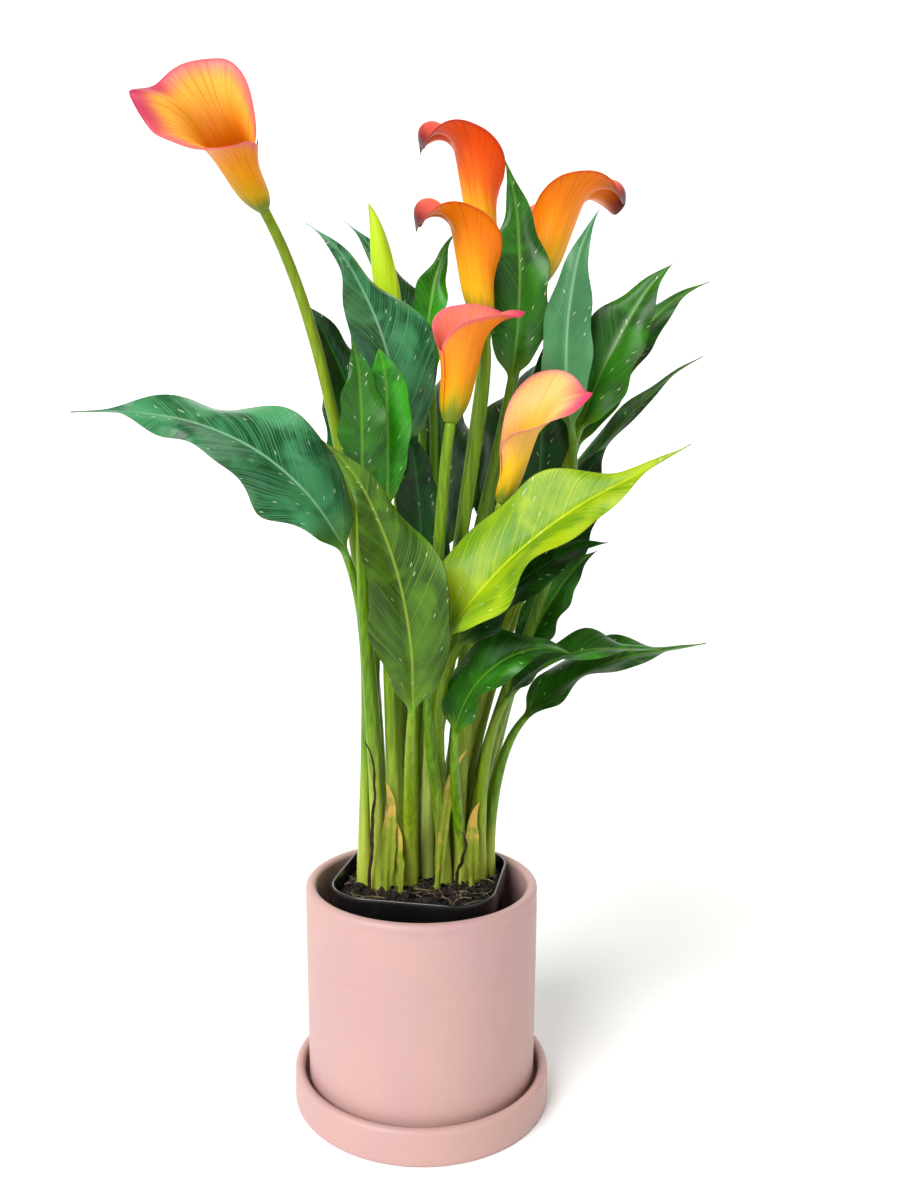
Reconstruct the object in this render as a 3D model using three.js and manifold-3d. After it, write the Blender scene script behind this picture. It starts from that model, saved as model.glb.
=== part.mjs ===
// A calla lily in a black nursery pot, standing in a pink ceramic cover pot on its saucer.
// Millimetres and degrees, +Z up, origin at the centre of the saucer's underside.
import * as THREE from "three";
import Module from "manifold-3d";
import { mergeVertices } from "three/addons/utils/BufferGeometryUtils.js";

// Nursery pot: a rounded square with a folded band round its top.
const NURSERY_SIDE = 92;
const NURSERY_CORNER = 25;
const NURSERY_BASE_SIDE = 72;
const NURSERY_HEIGHT = 114;
const NURSERY_WALL = 1.2;
const NURSERY_TURN = -12;
const NURSERY_CENTRE_Y = 4.5;
const BAND_HEIGHT = 10;
const BAND_STEP = 1.4;
const DRAIN_RADIUS = 4;

// Cover pot and saucer.
const COVER_WALL = 6;
const COVER_FLOOR = 6;
const COVER_TAPER = 1.4;
const COVER_EDGE = 2.4;
const SAUCER_WALL = 5.5;
const SAUCER_FLOOR = 6;
const SAUCER_HEIGHT = 19.7;
const SAUCER_EDGE = 2;

// Clearances between pieces.
const REST_GAP = 0.3;
const NURSERY_CLEARANCE = 0.6;
const SAUCER_CLEARANCE = 2.6;
const SOIL_CLEARANCE = 0.3;
const STALK_CLEARANCE = 0.4;
const TUBER_CLEARANCE = 0.4;

// How far the nursery pot stands above the cover pot, and the soil below the nursery rim.
const NURSERY_PROUD = 2.3;
const SOIL_DROP = 7;
const SOIL_BUMP = 1.1;

// Plant.
const GROWTH = 1;
const CLUMP_MARGIN = 0.5;
const CLUMP_TURN = 12;
const CLUMP_SHIFT = new THREE.Vector2(0, 3);
const CROWN_HEIGHT = 90;
const ROOT_DEPTH = 14;
const HOLE_DEPTH = 19;
const TUBER_HALF_HEIGHT = 11;
const TUBER_GAP = 1;
const LEAF_THICKNESS = 0.7;
const STALK_FOOT_RADIUS = 3;
const ROOMY_STALK_RADIUS = 3;
const OUTGROWN_SHIFT = 6;
const STALK_NECK_RADIUS = 1.7;
const STEM_FOOT_RADIUS = 3.6;
const STEM_TOP_RADIUS = 2.8;
const LEAF_ARCH = 0.24;
const STEM_ARCH = 0.14;
const NECK_LENGTH = 8;
const SPATHE_THICKNESS = 0.6;
const SPATHE_BASE_RADIUS = 3.3;
const SPATHE_WRAP = 1.1;
const SPATHE_SPIRAL = 0.08;
const SPADIX_RADIUS = 2.4;
const STRAND_RADIUS = 0.9;

// Mesh fineness.
const ROUND_STEPS = 40;
const CORNER_STEPS = 5;
const RING_POINTS = 8;
const BLADE_MARKS = [0, 4, 10, 18, 29, 40, 51, 60];

// The plant's pieces. A foot is [x, y] from the middle of the clump; a neck, base or top is
// [x, y, z] from the pot's axis and the soil. A blade starts along its heading and rise, droops and
// sways towards its tip, and is rolled about its own spine. A leaf that gives way stands in a crowded
// place and moves to the front by that share of the crowding.
const LEAVES = [
  { name: "leaf_far_left", foot: [-33, 0], neck: [-40, -18, 188], heading: 186, rise: 72, droop: 86,
    roll: 40, length: 174, width: 28, peak: 0.3, taper: 1.6, givesWay: 1, color: 0x3f6a35 },
  { name: "leaf_front_left", foot: [-8, -6], neck: [-5, -44, 108], heading: 184, rise: 94, droop: 40,
    roll: 75, length: 152, width: 22, color: 0x4d7d38 },
  { name: "leaf_lime", foot: [12, -6], neck: [12, -34, 146], heading: -6, rise: 58, droop: 39,
    roll: -32, length: 156, width: 31, fold: 24, color: 0x9dbb3f },
  { name: "leaf_under_lime", foot: [14, 2], neck: [20, -22, 140], heading: -16, rise: 56, droop: 36,
    roll: -50, length: 94, width: 17, color: 0x2f5a30 },
  { name: "leaf_front_centre", foot: [22, -6], neck: [18, -24, 92], heading: -20, rise: 84, droop: 88,
    roll: -45, length: 78, width: 18, givesWay: 1, color: 0x557f3c },
  { name: "leaf_low_front", foot: [33, -5], neck: [46, -14, 110], heading: -20, rise: 56, droop: 76,
    roll: -20, length: 88, width: 16.5, color: 0x4d7d38 },
  { name: "leaf_low_right", foot: [40, 2], neck: [57, 6, 94], heading: -10, rise: 50, droop: 54,
    roll: -25, length: 108, width: 19, fold: 20, color: 0x557f3c },
  { name: "leaf_right_mid", foot: [38, 10.5], neck: [58, 18, 128], heading: 6, rise: 70, droop: 26,
    roll: -55, length: 72, width: 12.5, color: 0x3f6a35 },
  { name: "leaf_right_back", foot: [37, 19], neck: [74, 46, 168], heading: 30, rise: 72, droop: 18,
    roll: -40, length: 92, width: 20, color: 0x2f5a30 },
  { name: "leaf_right_narrow", foot: [26, 28], neck: [84, 80, 214], heading: -6, rise: 56, droop: 16,
    roll: -35, length: 126, width: 10, color: 0x4d7d38 },
  { name: "leaf_upright_right", foot: [31, 5], neck: [82, 4, 256], heading: 0, rise: 100, droop: 30,
    roll: 100, length: 119, width: 15, color: 0x7d9474 },
  { name: "leaf_right_tall", foot: [21, 13], neck: [88, 18, 256], heading: 0, rise: 72, droop: 18,
    roll: -60, length: 102, width: 21, color: 0x4d7d38 },
  { name: "leaf_right_far", foot: [29, 20.5], neck: [90, 40, 248], heading: 6, rise: 72, droop: 38,
    roll: -50, length: 124, width: 17, color: 0x3f6a35 },
  { name: "leaf_centre_tall", foot: [8, 20], neck: [50, 20, 284], heading: 14, rise: 80, droop: -22,
    roll: -65, length: 118, width: 17, color: 0x557f3c },
  { name: "leaf_centre_narrow", foot: [-2, 23], neck: [5, 34, 286], heading: 16, rise: 98, droop: 34,
    roll: -60, length: 86, width: 11, color: 0x4d7d38 },
  { name: "leaf_big_glossy", foot: [-14, 2], neck: [-12, -4, 243], heading: 184, rise: 92, droop: 45,
    roll: 58, length: 132, width: 24, color: 0x3a6648 },
  { name: "leaf_behind_bud", foot: [-10, 19], neck: [0, 44, 270], heading: 165, rise: 86, droop: 34,
    roll: 55, length: 118, width: 16, color: 0x3f6a35 },
  { name: "leaf_left_dark", foot: [-28, 18], neck: [-30, 26, 238], heading: 170, rise: 80, droop: 24,
    roll: 60, length: 102, width: 16, color: 0x2f5a30 },
  { name: "leaf_left_oval", foot: [-26, -6], neck: [-31, -32, 226], heading: 180, rise: 93, droop: 10,
    roll: 80, length: 68, width: 13, color: 0x2f5a30 },
  { name: "leaf_left_bright", foot: [-17, -6], neck: [-18, -22, 214], heading: 180, rise: 92, droop: 6,
    roll: 85, length: 78, width: 13, peak: 0.6, color: 0x6fa23c },
  { name: "leaf_centre_dark", foot: [-5, 4], neck: [-1, 0, 160], heading: 180, rise: 94, droop: 16,
    roll: 80, length: 93, width: 12, color: 0x2f5a30 },
  { name: "leaf_left_back", foot: [-18, 27], neck: [-36, 56, 210], heading: 130, rise: 84, droop: 38,
    roll: 20, length: 104, width: 17, color: 0x3a6648 },
  { name: "leaf_back_centre", foot: [4, 30], neck: [12, 62, 185], heading: 88, rise: 80, droop: 38,
    roll: 0, length: 136, width: 23, color: 0x2f5a30 },
  { name: "leaf_back_right", foot: [19, 30], neck: [46, 66, 195], heading: 62, rise: 78, droop: 32,
    roll: -10, length: 130, width: 23, color: 0x2f5a30 },
  { name: "leaf_right_dark", foot: [29.5, 12.5], neck: [68, 28, 186], heading: 40, rise: 92, droop: 10,
    roll: -40, length: 130, width: 16, color: 0x2f5a30 },
];

const FLOWERS = [
  { name: "flower_left", foot: [-23, 10], base: [-81, -20, 366], heading: 248, rise: 36, tipHeading: 165,
    stemHeading: 192, stemRise: 62, arch: 0.22,
    length: 76, front: 0.8, tube: 5, open: 0.44, flare: 48, hook: 16, tip: 10, color: 0xf0a02c },
  { name: "flower_top", foot: [11, 28], base: [38, 46, 362], heading: 176, rise: 84, tipHeading: 184,
    length: 84, front: 0.6, tube: 5, open: 0.48, flare: 38, hook: 124, tip: 10, color: 0xe8651f },
  { name: "flower_middle", foot: [3, 11], base: [34, 7, 312], heading: 180, rise: 84, tipHeading: 184,
    length: 79, front: 0.6, tube: 5, open: 0.48, flare: 38, hook: 124, tip: 10, color: 0xee7a25 },
  { name: "flower_right", foot: [21, 22], base: [66, 46, 340], heading: 20, rise: 72, tipHeading: 2,
    length: 82, front: 0.62, tube: 5, open: 0.44, flare: 40, hook: 106, tip: 11, color: 0xe86a22 },
  { name: "flower_front", foot: [4, 3], base: [15, -26, 257], heading: 30, rise: 84, tipHeading: 16,
    length: 69, front: 0.74, tube: 5, open: 0.46, flare: 30, hook: 48, tip: 6, color: 0xee8a5a },
  { name: "flower_low", foot: [22, 3], base: [43, -12, 216], heading: -10, rise: 75, tipHeading: -6,
    length: 70, front: 0.7, tube: 4, open: 0.4, flare: 30, hook: 38, tip: 6, color: 0xf2c07a },
];

// A rolled bud: a slim spindle that leans as its stem does and ends in a point.
const BUD = {
  foot: [-13, 11], base: [-12, 20, 298], heading: 184, rise: 77, lean: -6, length: 84, width: 6.2,
};

// Papery sheaths that stand in front of the stalks they once wrapped.
const SHEATHS = [
  { name: "sheath_left", foot: [-23, -14], heading: 200, rise: 92, droop: -4, roll: -70,
    length: 64, width: 4.5 },
  { name: "sheath_middle", foot: [-15, -16], heading: 150, rise: 90, droop: 4, roll: -80,
    length: 44, width: 4 },
  { name: "sheath_front", foot: [6, -14], heading: 0, rise: 88, droop: 12, roll: 80,
    length: 84, width: 3.6 },
  { name: "sheath_right", foot: [26, -14], heading: 0, rise: 92, droop: 6, roll: 80,
    length: 50, width: 4.5 },
];

// Dried brown strands left among the stalks.
const STRANDS = [
  { name: "dry_strand_left", foot: [-32, -11], top: [-30, -22, 88], heading: 150, rise: 60 },
  { name: "dry_strand_right", foot: [17, -15], top: [22, -26, 40], heading: 140, rise: 50 },
];

const wasm = await Module();
wasm.setup();

const radians = THREE.MathUtils.degToRad;
const lerp = THREE.MathUtils.lerp;
const smoothstep = THREE.MathUtils.smoothstep;

// Levels and radii that follow from the sizes above.
const cornerOut = (NURSERY_SIDE / 2 - NURSERY_CORNER) * Math.SQRT2;
const cornerReach = Math.max(...[45, 135, 225, 315].map((corner) => {
  const angle = radians(corner + NURSERY_TURN);
  return Math.hypot(cornerOut * Math.cos(angle), cornerOut * Math.sin(angle) + NURSERY_CENTRE_Y);
})) + NURSERY_CORNER;
const coverInner = cornerReach + NURSERY_CLEARANCE;
const coverOuter = coverInner + COVER_WALL;
const saucerInner = coverOuter - COVER_TAPER + SAUCER_CLEARANCE;
const saucerOuter = saucerInner + SAUCER_WALL;
const coverBase = SAUCER_FLOOR + REST_GAP;
const nurseryBase = coverBase + COVER_FLOOR + REST_GAP;
const nurseryRim = nurseryBase + NURSERY_HEIGHT;
const coverRim = nurseryRim - NURSERY_PROUD;
const soilLevel = nurseryRim - SOIL_DROP;
const soilHalf = NURSERY_SIDE / 2 - BAND_STEP - NURSERY_WALL - SOIL_CLEARANCE;

const object = new THREE.Group();

function finish(color, roughness) {
  return new THREE.MeshStandardMaterial({ color, roughness, metalness: 0 });
}

function addMesh(name, geometry, material, group = object) {
  const mesh = new THREE.Mesh(geometry, material);
  mesh.name = name;
  group.add(mesh);
  return mesh;
}

function meshFrom(points, faces) {
  const geometry = new THREE.BufferGeometry();
  geometry.setAttribute("position", new THREE.Float32BufferAttribute(points.flatMap((p) => [...p]), 3));
  geometry.setIndex(faces.flat());
  geometry.computeVertexNormals();
  return geometry;
}

// A closed skin over rings that all turn anticlockwise about the way they advance.
function loft(rings) {
  const count = rings[0].length;
  const faces = [];
  const at = (i, j) => i * count + (j % count);
  for (let i = 0; i < rings.length - 1; i += 1) {
    for (let j = 0; j < count; j += 1) {
      faces.push([at(i, j), at(i, j + 1), at(i + 1, j + 1)]);
      faces.push([at(i, j), at(i + 1, j + 1), at(i + 1, j)]);
    }
  }
  const points = rings.flat();
  const centre = (ring) => ring.reduce((sum, p) => sum.add(p), new THREE.Vector3()).divideScalar(count);
  const first = points.push(centre(rings[0])) - 1;
  const last = points.push(centre(rings.at(-1))) - 1;
  for (let j = 0; j < count; j += 1) {
    faces.push([first, at(0, j + 1), at(0, j)]);
    faces.push([last, at(rings.length - 1, j), at(rings.length - 1, j + 1)]);
  }
  return meshFrom(points, faces);
}

function toSolid(geometry) {
  const bare = geometry.clone();
  bare.deleteAttribute("normal");
  bare.deleteAttribute("uv");
  const merged = mergeVertices(bare, 1e-4);
  return new wasm.Manifold(new wasm.Mesh({
    numProp: 3,
    vertProperties: new Float32Array(merged.attributes.position.array),
    triVerts: new Uint32Array(merged.index.array),
  }));
}

function fromSolid(solid) {
  const mesh = solid.getMesh();
  const geometry = new THREE.BufferGeometry();
  geometry.setAttribute("position", new THREE.BufferAttribute(mesh.vertProperties, 3));
  geometry.setIndex(new THREE.BufferAttribute(mesh.triVerts, 1));
  return geometry;
}

function cutAll(geometry, cutters) {
  return fromSolid(cutters.reduce((solid, cutter) => solid.subtract(toSolid(cutter)), toSolid(geometry)));
}

// Turned pottery: the profile is [radius, height] pairs from the axis round to the axis.
function turned(profile) {
  const points = profile.map(([radius, height]) => new THREE.Vector2(radius, height));
  const geometry = new THREE.LatheGeometry(points, ROUND_STEPS);
  geometry.rotateX(Math.PI / 2);
  return geometry;
}

// Points of a rounded edge of the given radius, from one angle to another.
function edge(centreRadius, centreHeight, radius, from, to, steps = 3) {
  return Array.from({ length: steps + 1 }, (_, i) => {
    const angle = radians(lerp(from, to, i / steps));
    return [centreRadius + radius * Math.cos(angle), centreHeight + radius * Math.sin(angle)];
  });
}

function addSaucer() {
  const lip = SAUCER_WALL / 2;
  addMesh("saucer", turned([
    [0, 0],
    ...edge(saucerOuter - SAUCER_EDGE, SAUCER_EDGE, SAUCER_EDGE, -90, 0),
    ...edge(saucerOuter - lip, SAUCER_HEIGHT - lip, lip, 0, 180, 4),
    [saucerInner, SAUCER_FLOOR],
    [0, SAUCER_FLOOR],
  ]), finish(0xe3bdb0, 0.75));
}

function addCoverPot() {
  const lip = COVER_WALL / 2;
  addMesh("cover_pot", turned([
    [0, coverBase],
    ...edge(coverOuter - COVER_TAPER - COVER_EDGE, coverBase + COVER_EDGE, COVER_EDGE, -90, 0),
    ...edge(coverOuter - lip, coverRim - lip, lip, 0, 180, 4),
    [coverInner, coverBase + COVER_FLOOR],
    [0, coverBase + COVER_FLOOR],
  ]), finish(0xe3bdb0, 0.75));
}

// One level of the nursery pot, drawn in from its outline by an inset.
function squareRing(side, height, inset = 0, lift = () => 0) {
  const half = side / 2 - inset;
  const corner = Math.max(1, (NURSERY_CORNER * side) / NURSERY_SIDE - inset);
  const turn = radians(NURSERY_TURN);
  const ring = [];
  for (let quarter = 0; quarter < 4; quarter += 1) {
    const middle = radians(45 + 90 * quarter);
    const cx = Math.sign(Math.cos(middle)) * (half - corner);
    const cy = Math.sign(Math.sin(middle)) * (half - corner);
    for (let i = 0; i <= CORNER_STEPS; i += 1) {
      const angle = middle + radians(lerp(-45, 45, i / CORNER_STEPS));
      const p = new THREE.Vector3(cx + corner * Math.cos(angle), cy + corner * Math.sin(angle), height);
      p.applyAxisAngle(new THREE.Vector3(0, 0, 1), turn);
      p.y += NURSERY_CENTRE_Y;
      p.z += lift(p.x, p.y);
      ring.push(p);
    }
  }
  return ring;
}

// Side of the nursery pot's outline below its band, at a height above its base.
function nurserySide(height) {
  const top = NURSERY_SIDE - 2 * BAND_STEP;
  return lerp(NURSERY_BASE_SIDE, top, height / (NURSERY_HEIGHT - BAND_HEIGHT));
}

function addNurseryPot() {
  const shoulder = NURSERY_HEIGHT - BAND_HEIGHT;
  const inside = BAND_STEP + NURSERY_WALL;
  const pot = loft([
    squareRing(nurserySide(0), nurseryBase),
    squareRing(nurserySide(shoulder), nurseryBase + shoulder - BAND_STEP),
    squareRing(NURSERY_SIDE, nurseryBase + shoulder),
    squareRing(NURSERY_SIDE, nurseryRim),
    squareRing(NURSERY_SIDE, nurseryRim, inside),
    squareRing(NURSERY_SIDE, nurseryBase + shoulder, inside),
    squareRing(nurserySide(0), nurseryBase + NURSERY_WALL, NURSERY_WALL),
  ]);
  const reach = NURSERY_BASE_SIDE / 4;
  const drains = [[1, 1], [-1, 1], [-1, -1], [1, -1]].map(([sx, sy]) => {
    const drain = new THREE.CylinderGeometry(DRAIN_RADIUS, DRAIN_RADIUS, 4 * NURSERY_WALL, 12);
    drain.rotateX(Math.PI / 2);
    drain.translate(sx * reach, sy * reach + NURSERY_CENTRE_Y, nurseryBase);
    return drain;
  });
  addMesh("nursery_pot", cutAll(pot, drains), finish(0x17181a, 0.45));
}

// A foot's place from the middle of the nursery pot, before the crown is spread.
function footPlace([x, y]) {
  return new THREE.Vector2(x, y).rotateAround(new THREE.Vector2(), radians(CLUMP_TURN)).add(CLUMP_SHIFT);
}

// Free room between a place and the side of the rounded square of soil.
function roomInSoil(place) {
  const turned = place.clone().rotateAround(new THREE.Vector2(), -radians(NURSERY_TURN));
  const straight = NURSERY_SIDE / 2 - NURSERY_CORNER;
  const past = new THREE.Vector2(Math.abs(turned.x) - straight, Math.abs(turned.y) - straight);
  const inside = Math.min(0, Math.max(past.x, past.y));
  return soilHalf - straight - inside - Math.hypot(Math.max(past.x, 0), Math.max(past.y, 0));
}

// The widest spread, up to the plant's growth, at which every foot still stands in the soil.
function widestSpread() {
  const feet = [...LEAVES, ...FLOWERS, BUD, ...SHEATHS, ...STRANDS].map((piece) => footPlace(piece.foot));
  const margin = STEM_FOOT_RADIUS + STALK_CLEARANCE + CLUMP_MARGIN;
  const fits = (spread) => feet.every((foot) => roomInSoil(foot.clone().multiplyScalar(spread)) >= margin);
  let low = 0;
  let high = GROWTH;
  if (fits(high)) return high;
  for (let i = 0; i < 30; i += 1) {
    const middle = (low + high) / 2;
    if (fits(middle)) low = middle;
    else high = middle;
  }
  return low;
}

const crownSpread = widestSpread();

// How much closer the stalks stand when they are thicker or when the plant outgrows its pot.
const crowding = STALK_FOOT_RADIUS - ROOMY_STALK_RADIUS + OUTGROWN_SHIFT * (GROWTH - 1);

// The plant is laid out above the soil. A point's spread follows the soil near the crown.
function planted(x, y, z) {
  const spread = lerp(crownSpread, GROWTH, smoothstep(z, 0, CROWN_HEIGHT));
  return new THREE.Vector3(x * spread, y * spread, soilLevel + z * GROWTH);
}

// A stalk's foot on the soil, given from the middle of the nursery pot.
function rooted(foot) {
  const place = footPlace(foot);
  return planted(place.x, place.y, 0).add(new THREE.Vector3(0, NURSERY_CENTRE_Y, 0));
}

// Unit vector at a heading (0 is +X, 90 is +Y) and a rise above the horizontal.
function pointing(heading, rise) {
  const h = radians(heading);
  const r = radians(rise);
  return new THREE.Vector3(Math.cos(h) * Math.cos(r), Math.sin(h) * Math.cos(r), Math.sin(r));
}

// Stations of a stalk: a straight root in the soil, then a curve that arrives along a direction.
// Its foot is as thick as the crown's spread leaves room for, and its top grows with the plant.
function stalkStations(foot, top, arriving, footRadius, topRadius, steps, arch) {
  const start = rooted(foot);
  const reach = 0.36 * start.distanceTo(top);
  const curve = new THREE.CubicBezierCurve3(
    start,
    start.clone().add(new THREE.Vector3(0, 0, reach)),
    top.clone().addScaledVector(arriving, -arch * start.distanceTo(top)),
    top,
  );
  const down = new THREE.Vector3(0, 0, -ROOT_DEPTH * GROWTH);
  const thick = footRadius * crownSpread;
  const stations = [{ centre: start.clone().add(down), way: pointing(0, 90), radius: thick }];
  for (let i = 0; i <= steps; i += 1) {
    const t = i / steps;
    stations.push({
      centre: curve.getPoint(t),
      way: curve.getTangent(t),
      radius: lerp(thick, topRadius * GROWTH, t),
    });
  }
  return stations;
}

// Turns a facing vector so that it stays square to the way ahead.
function squareTo(way, facing) {
  return facing.clone().addScaledVector(way, -facing.dot(way)).normalize();
}

function roundRing({ centre, way, radius }, facing) {
  const up = squareTo(way, facing);
  const right = up.clone().cross(way);
  return Array.from({ length: RING_POINTS }, (_, i) => {
    const angle = (i / RING_POINTS) * 2 * Math.PI;
    return centre.clone()
      .addScaledVector(right, radius * Math.cos(angle))
      .addScaledVector(up, radius * Math.sin(angle));
  });
}

// Share of the full half width at a share of the blade's length.
function bladeOutline(s, peak = 0.36, taper = 1.1) {
  if (s < peak) return (1 - (1 - s / peak) ** 2) ** 0.6;
  return Math.cos(((s - peak) / (1 - peak)) * (Math.PI / 2)) ** taper;
}

// Blade stations: the spine turns steadily from its first direction to its last.
function bladeStations(leaf, neck, marks) {
  const steps = 60;
  const centre = neck.clone();
  const stations = [];
  for (let i = 0; i <= steps; i += 1) {
    const s = i / steps;
    const heading = leaf.heading + (leaf.sway ?? 0) * s;
    const rise = leaf.rise - leaf.droop * s;
    const way = pointing(heading, rise);
    if (i > 0) centre.addScaledVector(way, (leaf.length * GROWTH) / steps);
    if (marks.includes(i)) {
      const face = pointing(heading, rise + 90);
      const roll = leaf.roll + (leaf.twist ?? 0) * s;
      stations.push({ s, centre: centre.clone(), way, facing: face.applyAxisAngle(way, -radians(roll)) });
    }
  }
  return stations;
}

function bladeRing(leaf, { s, centre, way, facing }) {
  const right = facing.clone().cross(way);
  const least = lerp(STALK_NECK_RADIUS, 0.4, s);
  const half = Math.max(least, leaf.width * bladeOutline(s, leaf.peak, leaf.taper));
  const thin = Math.min(1, s / 0.3);
  const middle = lerp(STALK_NECK_RADIUS, LEAF_THICKNESS * 0.8, thin);
  const flank = lerp(STALK_NECK_RADIUS * Math.SQRT1_2, LEAF_THICKNESS / 2, Math.min(1, s / 0.12));
  const fold = radians(leaf.fold ?? 16) * Math.min(1, s / 0.12);
  const place = (share, lift) => centre.clone()
    .addScaledVector(right, share * half * Math.cos(fold) * GROWTH)
    .addScaledVector(facing, (Math.abs(share) * half * Math.sin(fold) + lift) * GROWTH);
  return [
    place(1, 0), place(0.6, flank), place(0, middle), place(-0.6, flank),
    place(-1, 0), place(-0.6, -flank), place(0, -middle), place(0.6, -flank),
  ];
}

const stalkFeet = [];

function addLeaf(leaf) {
  const neck = planted(...leaf.neck).add(new THREE.Vector3(0, -(leaf.givesWay ?? 0) * crowding, 0));
  const way = pointing(leaf.heading, leaf.rise);
  const blade = bladeStations(leaf, neck, BLADE_MARKS);
  const stalk = stalkStations(leaf.foot, neck, way, STALK_FOOT_RADIUS, STALK_NECK_RADIUS, 4, LEAF_ARCH);
  const rings = stalk.slice(0, -1).map((station) => roundRing(station, blade[0].facing));
  blade.forEach((station) => rings.push(bladeRing(leaf, station)));
  stalkFeet.push({ foot: leaf.foot, radius: STALK_FOOT_RADIUS });
  addMesh(leaf.name, loft(rings), finish(leaf.color, 0.45));
}

// A frame whose third axis is the flower's own axis and whose first axis points to its tip side.
function flowerFrame(base, axis, tipHeading) {
  const back = squareTo(axis, pointing(tipHeading, 0));
  const side = axis.clone().cross(back);
  return new THREE.Matrix4().makeBasis(back, side, axis).setPosition(base);
}

// Length of the rolled sheet from its base to its rim: longest at the tip side, shortest in front.
function sheetLength(flower, turn) {
  const share = ((1 + Math.cos(turn)) / 2) ** 0.8;
  const spike = Math.exp(-((turn / 0.22) ** 2)) * flower.tip;
  return flower.length * lerp(flower.front, 1, share) + spike;
}

// A point of the rolled sheet, found by walking out from the base along one meridian.
function sheetPoint(flower, turn, reach) {
  const length = sheetLength(flower, turn);
  const hook = flower.hook * Math.exp(-((turn / 0.55) ** 2));
  const steps = 24;
  let radius = SPATHE_BASE_RADIUS;
  let height = 0;
  for (let i = 0; i < steps * reach - 1e-9; i += 1) {
    const t = (i + 0.5) / steps;
    const bulb = 42 * (1 - smoothstep(t, 0, 0.16));
    const flare = flower.flare * smoothstep(t, flower.open, 1) + hook * smoothstep(t, 0.66, 1);
    const angle = radians(flower.tube + bulb + flare);
    radius += (Math.sin(angle) * length) / steps;
    height += (Math.cos(angle) * length) / steps;
  }
  const rolled = radius * (1 + (SPATHE_SPIRAL * turn) / Math.PI);
  return new THREE.Vector3(rolled * Math.cos(turn), rolled * Math.sin(turn), height);
}

function spatheGeometry(flower, turns = 12, rises = 6) {
  const outer = [];
  const inner = [];
  for (let i = 0; i <= turns; i += 1) {
    const turn = lerp(-1, 1, i / turns) * SPATHE_WRAP * Math.PI;
    for (let j = 0; j <= rises; j += 1) {
      const reach = j / rises;
      const here = sheetPoint(flower, turn, reach);
      const along = sheetPoint(flower, turn, Math.min(1, reach + 1 / 24));
      along.sub(sheetPoint(flower, turn, Math.max(0, reach - 1 / 24)));
      const round = sheetPoint(flower, turn + 0.05, reach).sub(sheetPoint(flower, turn - 0.05, reach));
      const out = round.cross(along).normalize();
      outer.push(here.clone().addScaledVector(out, SPATHE_THICKNESS / 2));
      inner.push(here.clone().addScaledVector(out, -SPATHE_THICKNESS / 2));
    }
  }
  const row = rises + 1;
  const under = outer.length;
  const o = (i, j) => i * row + j;
  const n = (i, j) => under + i * row + j;
  const faces = [];
  const quad = (a, b, c, d) => faces.push([a, b, c], [a, c, d]);
  for (let i = 0; i < turns; i += 1) {
    for (let j = 0; j < rises; j += 1) {
      quad(o(i, j), o(i + 1, j), o(i + 1, j + 1), o(i, j + 1));
      quad(n(i, j), n(i, j + 1), n(i + 1, j + 1), n(i + 1, j));
    }
    quad(o(i, 0), n(i, 0), n(i + 1, 0), o(i + 1, 0));
    quad(o(i, rises), o(i + 1, rises), n(i + 1, rises), n(i, rises));
  }
  for (let j = 0; j < rises; j += 1) {
    quad(o(0, j), o(0, j + 1), n(0, j + 1), n(0, j));
    quad(o(turns, j), n(turns, j), n(turns, j + 1), o(turns, j + 1));
  }
  return meshFrom([...outer, ...inner], faces);
}

function spadixGeometry(length) {
  const profile = [
    [0, 0], [SPADIX_RADIUS * 0.8, 0], [SPADIX_RADIUS, length * 0.3], [SPADIX_RADIUS * 0.9, length * 0.75],
    [SPADIX_RADIUS * 0.5, length * 0.95], [0, length],
  ];
  const geometry = new THREE.LatheGeometry(profile.map(([x, y]) => new THREE.Vector2(x, y)), 8);
  geometry.rotateX(Math.PI / 2);
  return geometry;
}

function addStem(name, plant, base, axis, color) {
  const arriving = pointing(plant.stemHeading ?? plant.heading, plant.stemRise ?? plant.rise);
  const bend = base.clone().addScaledVector(axis, -NECK_LENGTH * GROWTH);
  const arch = plant.arch ?? STEM_ARCH;
  const stations = stalkStations(plant.foot, bend, arriving, STEM_FOOT_RADIUS, STEM_TOP_RADIUS, 6, arch);
  const top = base.clone().addScaledVector(axis, -REST_GAP * GROWTH);
  stations.push({ centre: top, way: axis, radius: STEM_TOP_RADIUS * GROWTH });
  stalkFeet.push({ foot: plant.foot, radius: STEM_FOOT_RADIUS });
  const rings = stations.map((station) => roundRing(station, pointing(90, 0)));
  addMesh(name, loft(rings), finish(color, 0.5));
}

function addFlower(flower) {
  const base = planted(...flower.base);
  const axis = pointing(flower.heading, flower.rise);
  const frame = flowerFrame(base, axis, flower.tipHeading);
  const grown = new THREE.Matrix4().makeScale(GROWTH, GROWTH, GROWTH);
  const place = frame.multiply(grown);
  addMesh(`${flower.name}_spathe`, spatheGeometry(flower).applyMatrix4(place), finish(flower.color, 0.5));
  const spadix = spadixGeometry(flower.length * 0.4).translate(0, 0, REST_GAP);
  addMesh(`${flower.name}_spadix`, spadix.applyMatrix4(place), finish(0xe0a23a, 0.7));
  addStem(`${flower.name}_stem`, flower, base, axis, 0x6c8a3a);
}

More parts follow.
